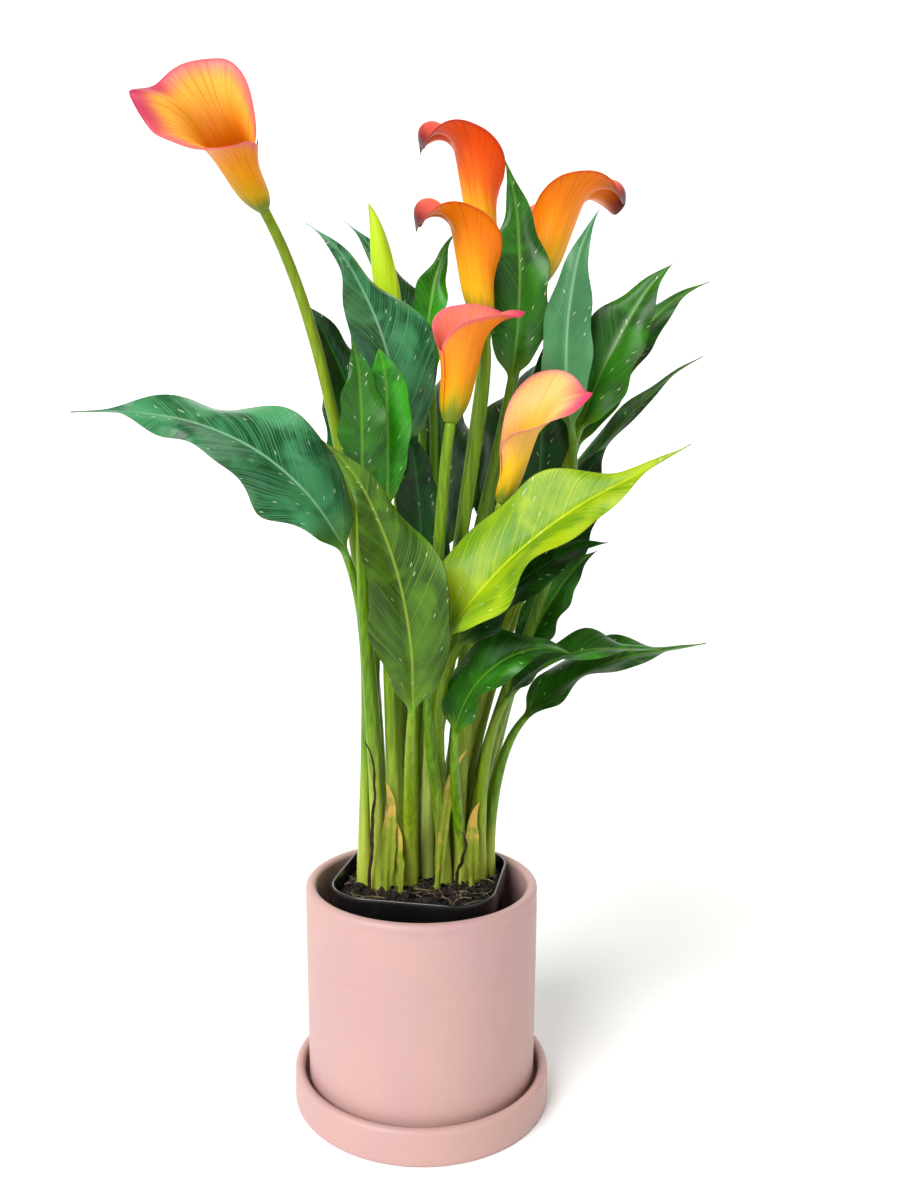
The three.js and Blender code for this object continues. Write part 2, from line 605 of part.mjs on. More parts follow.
function addBud() {
  const base = planted(...BUD.base);
  const centre = base.clone();
  const steps = 9;
  const rings = [];
  for (let i = 0; i <= steps; i += 1) {
    const s = i / steps;
    const way = pointing(BUD.heading, BUD.rise - BUD.lean * s);
    if (i > 0) centre.addScaledVector(way, (BUD.length * GROWTH) / steps);
    const swell = Math.sin(Math.PI * Math.min(1, s ** 0.8)) ** 0.7 * BUD.width;
    const radius = Math.max(lerp(STEM_TOP_RADIUS, 0.4, s), swell) * GROWTH;
    rings.push(roundRing({ centre: centre.clone(), way, radius }, pointing(90, 0)));
  }
  addMesh("bud_spathe", loft(rings), finish(0xb7cf3a, 0.5));
  addStem("bud_stem", BUD, base, pointing(BUD.heading, BUD.rise), 0x6c8a3a);
}

function addSheath(sheath) {
  const foot = rooted(sheath.foot);
  const leaf = { ...sheath, peak: 0.4, taper: 0.8, fold: -24 };
  const blade = bladeStations(leaf, foot, BLADE_MARKS);
  const root = foot.clone().add(new THREE.Vector3(0, 0, -ROOT_DEPTH * GROWTH));
  const start = { centre: root, way: pointing(0, 90), radius: STALK_NECK_RADIUS * crownSpread };
  stalkFeet.push({ foot: sheath.foot, radius: STALK_NECK_RADIUS });
  const rings = blade.map((station) => bladeRing(leaf, station));
  addMesh(sheath.name, loft([roundRing(start, blade[0].facing), ...rings]), finish(0xc2a94e, 0.8));
}

function addStrand(strand) {
  const top = planted(...strand.top);
  const way = pointing(strand.heading, strand.rise);
  const stations = stalkStations(strand.foot, top, way, STRAND_RADIUS, STRAND_RADIUS / 2, 4, LEAF_ARCH);
  stalkFeet.push({ foot: strand.foot, radius: STRAND_RADIUS });
  const rings = stations.map((station) => roundRing(station, pointing(90, 0)));
  addMesh(strand.name, loft(rings), finish(0x5a3a22, 0.9));
}

// Squat tubers under the clump, as [x, y, radius] from the middle of the nursery pot.
const TUBERS = [[-19, 8, 18], [18, 14, 17]];

function tuberShape([x, y, radius], extra) {
  const shape = new THREE.SphereGeometry(1, 14, 8);
  shape.rotateX(Math.PI / 2);
  const width = radius * crownSpread + extra;
  shape.scale(width, width, TUBER_HALF_HEIGHT * GROWTH + extra);
  const centre = rooted([x, y]);
  const depth = (ROOT_DEPTH + TUBER_GAP + TUBER_HALF_HEIGHT) * GROWTH;
  return shape.translate(centre.x, centre.y, centre.z - depth);
}

function addTubers() {
  TUBERS.forEach((tuber, i) => addMesh(`tuber_${i + 1}`, tuberShape(tuber, 0), finish(0x8a6a48, 0.9)));
}

// Soil: fills the nursery pot, lumpy on top, with room for every stalk foot and tuber.
function addSoil() {
  const bottom = nurseryBase + NURSERY_WALL + SOIL_CLEARANCE;
  const lump = (x, y) => SOIL_BUMP * (Math.sin(x / 6 + 1) * Math.cos(y / 5) + 0.6 * Math.sin(x / 3 - y / 4));
  const shoulder = nurseryBase + NURSERY_HEIGHT - BAND_HEIGHT;
  const inside = NURSERY_WALL + SOIL_CLEARANCE;
  const rings = [
    squareRing(nurserySide(0), bottom, inside),
    squareRing(NURSERY_SIDE, shoulder, inside + BAND_STEP),
    squareRing(NURSERY_SIDE, soilLevel, inside + BAND_STEP, lump),
  ];
  [0.82, 0.62, 0.42, 0.22].forEach((share) => {
    rings.push(squareRing(2 * soilHalf * share, soilLevel, 0, lump));
  });
  const holes = stalkFeet.map(({ foot, radius }) => {
    const wide = (radius * crownSpread + STALK_CLEARANCE) / Math.cos(Math.PI / RING_POINTS);
    const tall = (2 * HOLE_DEPTH) * GROWTH;
    const hole = new THREE.CylinderGeometry(wide, wide, tall, RING_POINTS);
    const at = rooted(foot);
    return hole.rotateX(Math.PI / 2).translate(at.x, at.y, at.z);
  });
  const pockets = TUBERS.map((tuber) => tuberShape(tuber, TUBER_CLEARANCE));
  addMesh("soil", cutAll(loft(rings), [...holes, ...pockets]), finish(0x2b211b, 0.95));
}

LEAVES.forEach(addLeaf);
FLOWERS.forEach(addFlower);
addBud();
SHEATHS.forEach(addSheath);
STRANDS.forEach(addStrand);
addTubers();
addSoil();
addNurseryPot();
addCoverPot();
addSaucer();

export default object;
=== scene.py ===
"""Looks of a potted calla lily: its leaves, flowers, bud, sheaths, soil, pots and saucer.

Sizes and places are in millimetres, measured as in the part's design, and become metres when
a mesh is made. Angles are in degrees: a heading of 0 points along +X and one of 90 along +Y.
"""
import logging
import math
import random
from collections.abc import Iterator, Sequence
from dataclasses import dataclass, field, replace
from enum import Enum

import bpy
from mathutils import Matrix, Vector, noise


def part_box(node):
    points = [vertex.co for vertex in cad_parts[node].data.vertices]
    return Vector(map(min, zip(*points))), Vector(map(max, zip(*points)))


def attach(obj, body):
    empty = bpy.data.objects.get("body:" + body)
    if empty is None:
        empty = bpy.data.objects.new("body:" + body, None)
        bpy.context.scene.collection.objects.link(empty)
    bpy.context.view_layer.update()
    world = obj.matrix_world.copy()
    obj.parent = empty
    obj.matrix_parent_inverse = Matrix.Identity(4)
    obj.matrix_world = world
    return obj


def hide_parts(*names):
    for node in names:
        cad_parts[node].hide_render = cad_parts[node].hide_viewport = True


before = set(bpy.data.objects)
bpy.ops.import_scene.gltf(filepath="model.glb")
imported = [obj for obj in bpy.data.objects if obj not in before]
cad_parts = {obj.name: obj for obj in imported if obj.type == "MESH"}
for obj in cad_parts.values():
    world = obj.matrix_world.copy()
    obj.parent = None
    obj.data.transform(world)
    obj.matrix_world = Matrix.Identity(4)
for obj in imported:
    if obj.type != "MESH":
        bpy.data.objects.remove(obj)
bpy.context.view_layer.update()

log = logging.getLogger("calla_lily")

MM = 0.001
UP = Vector((0, 0, 1))
PLACE = "place"
REACH = "reach"
Colour = tuple[float, float, float]
Socket = bpy.types.NodeSocket

# Sizes shared with the part's design.
SOIL_DROP = 7.0
ROOT_DEPTH = 12.0
CLUMP_TURN = 12.0
CLUMP_BACK = 3.0
NURSERY_CENTRE_Y = 4.5
NURSERY_TURN = -12.0

# How far a stalk rises straight from its foot, as a share of its length.
STRAIGHT_SHARE = 0.36

# How uneven a stalk's skin is, as a share of its radius.
UNEVENNESS = 0.035


def tone(code: str) -> Colour:
    """Turns a colour code such as "e3bdb0" into the linear red, green and blue of a shader.

    Args:
        code: Six hexadecimal digits.

    Returns:
        The three linear shares.
    """
    shares = [int(code[i:i + 2], 16) / 255 for i in (0, 2, 4)]
    return tuple(s / 12.92 if s <= 0.04045 else ((s + 0.055) / 1.055) ** 2.4 for s in shares)


def tones(codes: str) -> tuple[Colour, ...]:
    """Turns several colour codes, with spaces between them, into shader colours."""
    return tuple(tone(code) for code in codes.split())


def lerp(low: float, high: float, share: float) -> float:
    """Returns the value at a share of the way from low to high."""
    return low + (high - low) * share


def smooth(value: float, low: float, high: float) -> float:
    """Returns 0 below low, 1 above high and a smooth step between them."""
    share = min(1.0, max(0.0, (value - low) / (high - low)))
    return share * share * (3 - 2 * share)


def bell(value: float, width: float) -> float:
    """Returns 1 at zero, falling away over the given width on both sides."""
    return math.exp(-((value / width) ** 2))


def pointing(heading: float, rise: float) -> Vector:
    """Returns the unit vector at a heading and a rise above the horizontal."""
    h, r = math.radians(heading), math.radians(rise)
    return Vector((math.cos(h) * math.cos(r), math.sin(h) * math.cos(r), math.sin(r)))


def square_to(way: Vector, facing: Vector) -> Vector:
    """Returns the facing vector turned so that it stands square to the way ahead."""
    return (facing - way * facing.dot(way)).normalized()


def soil_level() -> float:
    """Returns the height of the soil, which lies a set drop below the nursery pot's rim."""
    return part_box("nursery_pot")[1].z / MM - SOIL_DROP


def planted(place: Sequence[float]) -> Vector:
    """Returns a point that is given from the pot's axis and the soil."""
    return Vector((place[0], place[1], place[2] + soil_level()))


def rooted(foot: Sequence[float]) -> Vector:
    """Returns a stalk's foot on the soil, given from the middle of the clump."""
    turned = Matrix.Rotation(math.radians(CLUMP_TURN), 3, "Z") @ Vector((foot[0], foot[1], 0))
    return turned + Vector((0, CLUMP_BACK + NURSERY_CENTRE_Y, soil_level()))


def circle(count: int) -> Iterator[tuple[float, float, float]]:
    """Goes once round a circle.

    Args:
        count: How many points it has.

    Yields:
        The angle, cosine and sine of each point.
    """
    for j in range(count):
        angle = 2 * math.pi * j / count
        yield angle, math.cos(angle), math.sin(angle)


def own_number(name: str) -> float:
    """Returns a number of a piece's own, worked out from its name."""
    return float(sum(map(ord, name)) % 97) / 9


def put_in_scene(name: str, data: bpy.types.ID) -> bpy.types.Object:
    """Makes an object and puts it in the scene.

    Args:
        name: The object's name.
        data: Its mesh, light or camera.

    Returns:
        The new object.
    """
    made = bpy.data.objects.new(name, data)
    bpy.context.scene.collection.objects.link(made)
    return made


class Shading:
    """One procedural material, built up node by node."""

    def __init__(self, name: str) -> None:
        """Starts a material whose only nodes are its shader and its output.

        Args:
            name: The material's name.
        """
        self.material = bpy.data.materials.new(name)
        self.material.use_nodes = True
        self.tree = self.material.node_tree
        self.shader = self.tree.nodes["Principled BSDF"]

    def node(self, kind: str, inputs: dict[str | int, object], **settings: object) -> bpy.types.Node:
        """Adds a node.

        Args:
            kind: The node's Blender type name.
            inputs: What each input socket takes: another node's socket or a plain value.
            **settings: Properties of the node.

        Returns:
            The new node.
        """
        made = self.tree.nodes.new(kind)
        for key, value in settings.items():
            setattr(made, key, value)
        for key, value in inputs.items():
            if isinstance(value, bpy.types.NodeSocket):
                self.tree.links.new(value, made.inputs[key])
            else:
                made.inputs[key].default_value = value
        return made

    def marks(self, name: str) -> list[Socket]:
        """Reads a mark that the mesh carries on its points.

        Args:
            name: The mark's name.

        Returns:
            The sockets of its three parts.
        """
        mark = self.node("ShaderNodeAttribute", {}, attribute_name=name)
        parts = self.node("ShaderNodeSeparateXYZ", {0: mark.outputs["Vector"]})
        return list(parts.outputs)

    def math(self, operation: str, *values: object) -> Socket:
        """Returns the result of a sum on sockets and numbers."""
        return self.node("ShaderNodeMath", dict(enumerate(values)), operation=operation).outputs[0]

    def times(self, first: object, second: object) -> Socket:
        """Returns the product of two sockets or numbers."""
        return self.math("MULTIPLY", first, second)

    def plus(self, first: object, second: object) -> Socket:
        """Returns the sum of two sockets or numbers."""
        return self.math("ADD", first, second)

    def scaled(self, value: object, factor: object, added: object) -> Socket:
        """Returns the value times the factor, with a further value added."""
        return self.math("MULTIPLY_ADD", value, factor, added)

    def vector(self, x: object, y: object, z: object = 0.0) -> Socket:
        """Returns a vector made of three parts."""
        return self.node("ShaderNodeCombineXYZ", {0: x, 1: y, 2: z}).outputs[0]

    def step(self, value: Socket, low: float, high: float, start: float = 0.0,
             end: float = 1.0) -> Socket:
        """Returns a smooth step from start to end as the value goes from low to high."""
        inputs = {0: value, 1: low, 2: high, 3: start, 4: end}
        return self.node("ShaderNodeMapRange", inputs, interpolation_type="SMOOTHSTEP").outputs[0]

    def noise(self, vector: Socket, scale: float, detail: float = 3.0,
              distortion: float = 0.0) -> Socket:
        """Returns a cloudy pattern from 0 to 1."""
        inputs = {"Vector": vector, "Scale": scale, "Detail": detail, "Distortion": distortion}
        return self.node("ShaderNodeTexNoise", inputs).outputs[0]

    def mix(self, share: object, first: object, second: object) -> Socket:
        """Mixes two colours.

        Args:
            share: How much of the second colour shows, from 0 to 1.
            first: The first colour or its socket.
            second: The second colour or its socket.

        Returns:
            The mixed colour's socket.
        """
        colours = [c if isinstance(c, bpy.types.NodeSocket) else (*c, 1.0) for c in (first, second)]
        inputs = {0: share, 6: colours[0], 7: colours[1]}
        return self.node("ShaderNodeMix", inputs, data_type="RGBA").outputs[2]

    def ramp(self, value: Socket, stops: Sequence[tuple[float, Colour]]) -> Socket:
        """Turns a value into a colour by a row of stops.

        Args:
            value: The value's socket.
            stops: The place of each stop, from 0 to 1, with its colour.

        Returns:
            The colour's socket.
        """
        made = self.node("ShaderNodeValToRGB", {0: value})
        elements = made.color_ramp.elements
        while len(elements) < len(stops):
            elements.new(0.5)
        for element, (place, colour) in zip(elements, stops):
            element.position = place
            element.color = (*colour, 1.0)
        return made.outputs[0]

    def object_place(self) -> Socket:
        """Returns the point's place in the object's own space, in metres."""
        return self.node("ShaderNodeTexCoord", {}).outputs["Object"]

    def bump(self, height: Socket, distance: float, strength: float = 1.0) -> None:
        """Raises the surface by a height pattern.

        Args:
            height: The pattern's socket.
            distance: How high its full range stands, in metres.
            strength: How much of the relief shows.
        """
        inputs = {"Height": height, "Distance": distance, "Strength": strength}
        made = self.node("ShaderNodeBump", inputs)
        self.tree.links.new(made.outputs[0], self.shader.inputs["Normal"])

    def finish(self, colour: Socket, roughness: Socket, **values: float) -> bpy.types.Material:
        """Wires the colour and roughness and sets the shader's own values.

        Args:
            colour: The base colour's socket.
            roughness: The roughness's socket.
            **values: The shader's plain values, named with _ for each space.

        Returns:
            The finished material.
        """
        self.tree.links.new(colour, self.shader.inputs["Base Color"])
        self.tree.links.new(roughness, self.shader.inputs["Roughness"])
        for key, value in values.items():
            self.shader.inputs[key.replace("_", " ")].default_value = value
        return self.material


@dataclass(frozen=True)
class Finish:
    """A named finish that is made once, when a piece first needs it."""

    name: str
    slot: str

    def shade(self, shading: Shading) -> bpy.types.Material:
        """Builds the finish's nodes; each kind of finish has its own."""
        raise NotImplementedError

    def material(self) -> bpy.types.Material:
        """Returns the finish's material."""
        return bpy.data.materials.get(self.name) or self.shade(Shading(self.name))


@dataclass(frozen=True)
class LeafFinish(Finish):
    """A leaf's skin: side veins, midrib, white flecks, and a stalk that pales to its foot."""

    deep: Colour
    bright: Colour
    rib: Colour
    under: Colour
    flecks: float = 1.0
    vein: float = 0.18
    gloss: float = 0.34
    stalk: Colour = tone("64900a")
    foot: Colour = tone("b0bc48")
    white: Colour = tone("dfe8c8")

    VEIN_SLANT = 1.5
    VEIN_GAP = 2.6
    FINE_GAP = 0.62
    CLOUD_SCALE = 0.035
    STREAK_SCALE = 0.55
    RELIEF = 0.0003

    def shade(self, shading: Shading) -> bpy.types.Material:
        """Builds the leaf's colour, relief and gloss from the marks on its points.

        Args:
            shading: The material to fill.

        Returns:
            The finished material.
        """
        across, along, side = shading.marks(PLACE)
        wide, far, seed = shading.marks(REACH)
        out = shading.math("ABSOLUTE", wide)
        swept = shading.scaled(out, -self.VEIN_SLANT, far)
        cloud = shading.noise(shading.vector(wide, far, seed), self.CLOUD_SCALE, 4.0, 0.6)
        wander = shading.scaled(cloud, 5.0, swept)
        wave = shading.math("SINE", shading.times(wander, 2 * math.pi / self.VEIN_GAP))
        vein = shading.step(wave, 0.35, 1.0)
        fine = shading.math("SINE", shading.times(wander, 2 * math.pi / self.FINE_GAP))
        streaked = shading.vector(shading.times(out, 0.05), wander, seed)
        streak = shading.noise(streaked, self.STREAK_SCALE, 2.0)
        colour = shading.mix(shading.step(cloud, 0.36, 0.66), self.deep, self.bright)
        colour = shading.mix(shading.step(streak, 0.42, 0.75, 0.0, 0.6), colour, self.bright)
        vein = shading.times(vein, shading.step(streak, 0.3, 0.62, 0.25, 1.0))
        colour = shading.mix(shading.times(vein, self.vein), colour, self.rib)
        lower = shading.step(side, 0.25, -0.25)
        colour = shading.mix(shading.times(lower, 0.5), colour, self.under)
        rib = shading.step(out, 1.15, 0.25)
        rib = shading.times(rib, shading.step(along, 1.0, 0.45, 0.25, 0.8))
        colour = shading.mix(rib, colour, self.rib)
        colour = shading.mix(self.fleck_mask(shading, wide, wander, seed), colour, self.white)
        edge = shading.step(shading.math("ABSOLUTE", across), 0.97, 0.999, 0.0, 0.35)
        colour = shading.mix(edge, colour, tone("6b5a2a"))
        colour = shading.mix(shading.step(along, 0.97, 1.0, 0.0, 0.7), colour, tone("6a3f1c"))
        colour = shading.mix(shading.step(along, 0.16, -0.02, 0.0, 0.75), colour, self.stalk)
        stalk = stalk_streaks(shading, along, seed, self.stalk, self.foot)
        colour = shading.mix(shading.step(along, 0.0, -0.04), colour, stalk)
        height = shading.scaled(vein, -0.3, shading.times(fine, 0.06))
        height = shading.scaled(streak, 0.8, height)
        shading.bump(shading.plus(height, shading.times(cloud, 1.6)), self.RELIEF, 0.5)
        rough = shading.scaled(streak, 0.16, self.gloss - 0.08)
        return shading.finish(
            colour, rough, Specular_IOR_Level=0.26, Coat_Weight=0.05, Coat_Roughness=0.14,
            Subsurface_Weight=0.02, Subsurface_Scale=0.002,
        )

    def fleck_mask(self, shading: Shading, wide: Socket, swept: Socket, seed: Socket) -> Socket:
        """Returns 1 on the small white dashes that lie along the side veins.

        Args:
            shading: The material being filled.
            wide: Distance from the midrib.
            swept: Distance along the leaf, measured square to its side veins.
            seed: A number of the leaf's own.

        Returns:
            The mask's socket.
        """
        spread = shading.vector(shading.scaled(wide, 0.13, seed), shading.times(swept, 0.34))
        inputs = {"Vector": spread, "Scale": 1.0, "Randomness": 1.0}
        cells = shading.node("ShaderNodeTexVoronoi", inputs, voronoi_dimensions="2D")
        dash = shading.step(cells.outputs["Distance"], 0.1, 0.06)
        pick = shading.node("ShaderNodeSeparateColor", {0: cells.outputs["Color"]}).outputs[0]
        least = 0.93 - 0.05 * self.flecks
        chosen = shading.step(pick, least, least + 0.02, 0.0, 0.9)
        return shading.times(dash, chosen)


def stalk_streaks(shading: Shading, along: Socket, seed: Socket, green: Colour,
                  foot: Colour) -> Socket:
    """Returns the colour of a stalk, streaked along its length and pale at its foot.

    Args:
        shading: The material being filled.
        along: Share of the stalk, from -1 at its foot to 0 at its top.
        seed: A number of the stalk's own.
        green: The stalk's colour above the foot.
        foot: The stalk's colour at the soil.

    Returns:
        The colour's socket.
    """
    place = shading.node("ShaderNodeVectorMath", {0: shading.object_place(), 1: (520.0, 520.0, 9.0)},
                         operation="MULTIPLY").outputs[0]
    lines = shading.noise(place, 1.0, 2.0)
    dark = tuple(0.55 * c for c in green)
    colour = shading.mix(shading.step(lines, 0.3, 0.7), dark, green)
    pale = shading.scaled(lines, 0.22, shading.times(along, -1.0))
    colour = shading.mix(shading.step(pale, 0.66, 1.08, 0.0, 0.85), colour, foot)
    tint = shading.step(shading.math("SINE", shading.times(seed, 7.3)), -0.2, 1.0, 0.0, 0.35)
    return shading.mix(tint, colour, tone("94a01a"))


@dataclass(frozen=True)
class StemFinish(Finish):
    """A flower stem's smooth skin."""

    green: Colour
    foot: Colour = tone("b9c76a")

    def shade(self, shading: Shading) -> bpy.types.Material:
        """Builds the streaked skin of a stem.

        Args:
            shading: The material to fill.

        Returns:
            The finished material.
        """
        _, along, _ = shading.marks(PLACE)
        _, _, seed = shading.marks(REACH)
        colour = stalk_streaks(shading, along, seed, self.green, self.foot)
        grain = shading.noise(shading.object_place(), 700.0, 2.0)
        shading.bump(grain, 0.0002, 0.4)
        rough = shading.scaled(grain, 0.15, 0.3)
        return shading.finish(colour, rough, Specular_IOR_Level=0.28, Subsurface_Weight=0.05,
                              Subsurface_Scale=0.003)


@dataclass(frozen=True)
class SpatheFinish(Finish):
    """A rolled petal: green at its base, veined, and stained along its rim and tip."""

    outside: tuple[Colour, Colour, Colour]
    inside: tuple[Colour, Colour, Colour]
    rim: Colour
    tip: Colour
    rim_start: float = 0.93
    base: Colour = tone("6f7f1c")

    STOPS = (0.0, 0.1, 0.24, 0.5, 0.8, 1.0)

    def shade(self, shading: Shading) -> bpy.types.Material:
        """Builds the petal's colour from its base to its rim, apart for its two sides.

        Args:
            shading: The material to fill.

        Returns:
            The finished material.
        """
        turn, reach, side = shading.marks(PLACE)
        streaks = shading.noise(shading.vector(shading.times(turn, 34.0), reach), 1.0, 4.0)
        soft = shading.noise(shading.vector(shading.times(turn, 3.0), reach, 4.0), 1.6, 2.0)
        moved = shading.scaled(streaks, 0.26, shading.plus(reach, -0.13))
        moved = shading.scaled(soft, 0.2, shading.plus(moved, -0.1))
        sides = []
        for low, middle, high in (self.outside, self.inside):
            colours = (self.base, self.base, low, middle, high, high)
            sides.append(shading.ramp(moved, list(zip(self.STOPS, colours))))
        colour = shading.mix(shading.step(side, 0.3, -0.3), sides[0], sides[1])
        dark = shading.step(streaks, 0.5, 0.64, 0.0, 0.6)
        dark = shading.times(dark, shading.step(reach, 0.2, 0.6))
        colour = shading.mix(dark, colour, tuple(c * 0.7 for c in self.outside[2]))
        stained = shading.scaled(streaks, 0.05, shading.plus(reach, -0.025))
        colour = shading.mix(shading.step(stained, self.rim_start, 1.0, 0.0, 0.9), colour, self.rim)
        near_tip = shading.step(shading.math("ABSOLUTE", turn), 0.3, 0.05)
        near_tip = shading.times(near_tip, shading.step(stained, 0.8, 0.98))
        colour = shading.mix(near_tip, colour, self.tip)
        shading.bump(streaks, 0.0006, 0.6)
        rough = shading.scaled(streaks, 0.16, 0.34)
        return shading.finish(
            colour, rough, Specular_IOR_Level=0.2, Subsurface_Weight=0.08, Subsurface_Scale=0.003,
        )


@dataclass(frozen=True)
class GrainFinish(Finish):
    """A rough natural surface of two colours, in grains of a given scale."""

    dark: Colour
    light: Colour
    scale: float
    relief: float
    roughness: float

    def shade(self, shading: Shading) -> bpy.types.Material:
        """Builds the grainy surface.

        Args:
            shading: The material to fill.

        Returns:
            The finished material.
        """
        own, _, _ = shading.marks(REACH)
        place = shading.object_place()
        grain = shading.noise(place, self.scale, 5.0, 0.4)
        # On the spadix the first reach mark is the beads' height, so this mix paints highlight on their
        # tops and shade in their hollows.
        share = shading.scaled(own, 0.5, shading.plus(grain, -0.25))
        colour = shading.mix(shading.step(share, 0.3, 0.75), self.dark, self.light)
        shading.bump(shading.noise(place, self.scale * 2.5, 4.0), self.relief, 0.8)
        rough = shading.scaled(grain, 0.2, self.roughness - 0.1)
        return shading.finish(colour, rough, Specular_IOR_Level=0.3)


@dataclass(frozen=True)
class CeramicFinish(Finish):
    """Matt tinted glaze, faintly mottled, with a soft bloom and fine specks."""

    glaze: Colour = tone("b5908f")
    warm: Colour = tone("b9948b")
    speck: Colour = tone("a9776a")

    def shade(self, shading: Shading) -> bpy.types.Material:
        """Builds the glaze.

        Args:
            shading: The material to fill.

        Returns:
            The finished material.
        """
        place = shading.object_place()
        cloud = shading.noise(place, 14.0, 3.0, 0.5)
        colour = shading.mix(shading.step(cloud, 0.35, 0.65), self.glaze, self.warm)
        cells = shading.node("ShaderNodeTexVoronoi", {"Vector": place, "Scale": 210.0})
        pick = shading.node("ShaderNodeSeparateColor", {0: cells.outputs["Color"]}).outputs[0]
        speck = shading.times(shading.step(cells.outputs["Distance"], 0.12, 0.06),
                             shading.step(pick, 0.965, 0.97, 0.0, 0.45))
        colour = shading.mix(speck, colour, self.speck)
        _, _, seam = shading.marks(PLACE)
        colour = shading.mix(shading.times(seam, 0.35), colour, self.speck)
        grain = shading.noise(place, 420.0, 4.0)
        shading.bump(shading.plus(grain, shading.times(cloud, 0.6)), 0.00022, 0.5)
        rough = shading.scaled(cloud, 0.12, 0.46)
        return shading.finish(colour, rough, Specular_IOR_Level=0.45, Coat_Weight=0.1,
                              Coat_Roughness=0.4)


@dataclass(frozen=True)
class PlasticFinish(Finish):
    """Satin black plastic with rubbed marks and a little dust."""

    black: Colour = tone("08080a")
    dust: Colour = tone("201f1e")

    def shade(self, shading: Shading) -> bpy.types.Material:
        """Builds the moulded plastic.

        Args:
            shading: The material to fill.

        Returns:
            The finished material.
        """
        place = shading.object_place()
        cloud = shading.noise(place, 60.0, 4.0, 0.8)
        colour = shading.mix(shading.step(cloud, 0.56, 0.85, 0.0, 0.5), self.black, self.dust)
        grain = shading.noise(place, 900.0, 3.0)
        shading.bump(shading.plus(grain, shading.times(cloud, 2.0)), 0.0002, 0.5)
        rough = shading.scaled(cloud, 0.2, 0.14)
        return shading.finish(colour, rough, Specular_IOR_Level=0.6)


class Leaves(Enum):
    """The finishes that a leaf can have."""

    GREEN = LeafFinish("leaf_green_skin", "leaf_green", *tones("0a3604 267008 5f8f20 46741a"))
    DARK = LeafFinish("leaf_dark_skin", "leaf_dark", *tones("032206 0e4a10 2c6c2c 2a602c"),
                      vein=0.16, gloss=0.3)
    BLUE = LeafFinish("leaf_blue_skin", "leaf_dark", *tones("063612 1f7038 62a070 48865a"),
                      flecks=1.3, gloss=0.26)
    # Glossy leaves: their low roughness gives real gloss, and their paler blue-green tones are painted
    # sheen that stands in for their highlights.
    GLOSSY = LeafFinish("leaf_glossy_painted_sheen_skin", "leaf_dark", *tones("0a4420 3f8c58 86b890 5c9870"),
                        flecks=1.3, vein=0.2, gloss=0.2)
    OLIVE = LeafFinish("leaf_olive_skin", "leaf_green", *tones("1a3c02 4a7412 8ea82c 5c8028"))
    LIME = LeafFinish("leaf_lime_skin", "leaf_lime", *tones("4c8000 93ae00 bccb10 86a604"),
                      flecks=0.9, vein=0.42, gloss=0.46)
    BRIGHT = LeafFinish("leaf_bright_skin", "leaf_lime", *tones("0c5602 2c9404 70ac2c 4a9018"),
                        flecks=0.8)
    PALE = LeafFinish("leaf_pale_skin", "leaf_pale", *tones("145028 387c44 78a878 488454"),
                      flecks=0.8)


STEM_SKIN = StemFinish("stem_skin", "stem", tone("70960e"))
SPADIX_SKIN = GrainFinish("spadix_beads", "spadix", *tones("c9781a f2b53a"), 700.0, 0.0004, 0.6)
BUD_GREENS = tones("8cb804 b0d414 b8d820")
BUD_SKIN = SpatheFinish("bud_skin", "bud", BUD_GREENS, BUD_GREENS, *tones("9cc020 8aa81a"),
                        base=tone("7ca414"))
SHEATH_SKIN = GrainFinish("sheath_paper", "sheath", *tones("76861a c2a04a"), 160.0, 0.0006, 0.7)
STRAND_SKIN = GrainFinish("dry_strand_skin", "dry_strand", *tones("2c170d 6b4326"), 500.0, 0.0005, 0.8)
SOIL_SKIN = GrainFinish("soil_mix_skin", "soil", *tones("080605 1d1611"), 260.0, 0.0016, 0.9)
CRUMB_SKIN = GrainFinish("soil_crumb_skin", "soil", *tones("080606 2c221b"), 420.0, 0.0008, 0.85)
FIBRE_SKIN = GrainFinish("soil_fibre_skin", "soil", *tones("3c2c20 94805f"), 300.0, 0.0004, 0.85)
TUBER_SKIN = GrainFinish("tuber_skin", "tuber", *tones("3f2a1a 8a6a48"), 120.0, 0.0015, 0.85)
CERAMIC = CeramicFinish("ceramic_glaze", "ceramic_pink")
PLASTIC = PlasticFinish("nursery_plastic", "plastic_black")


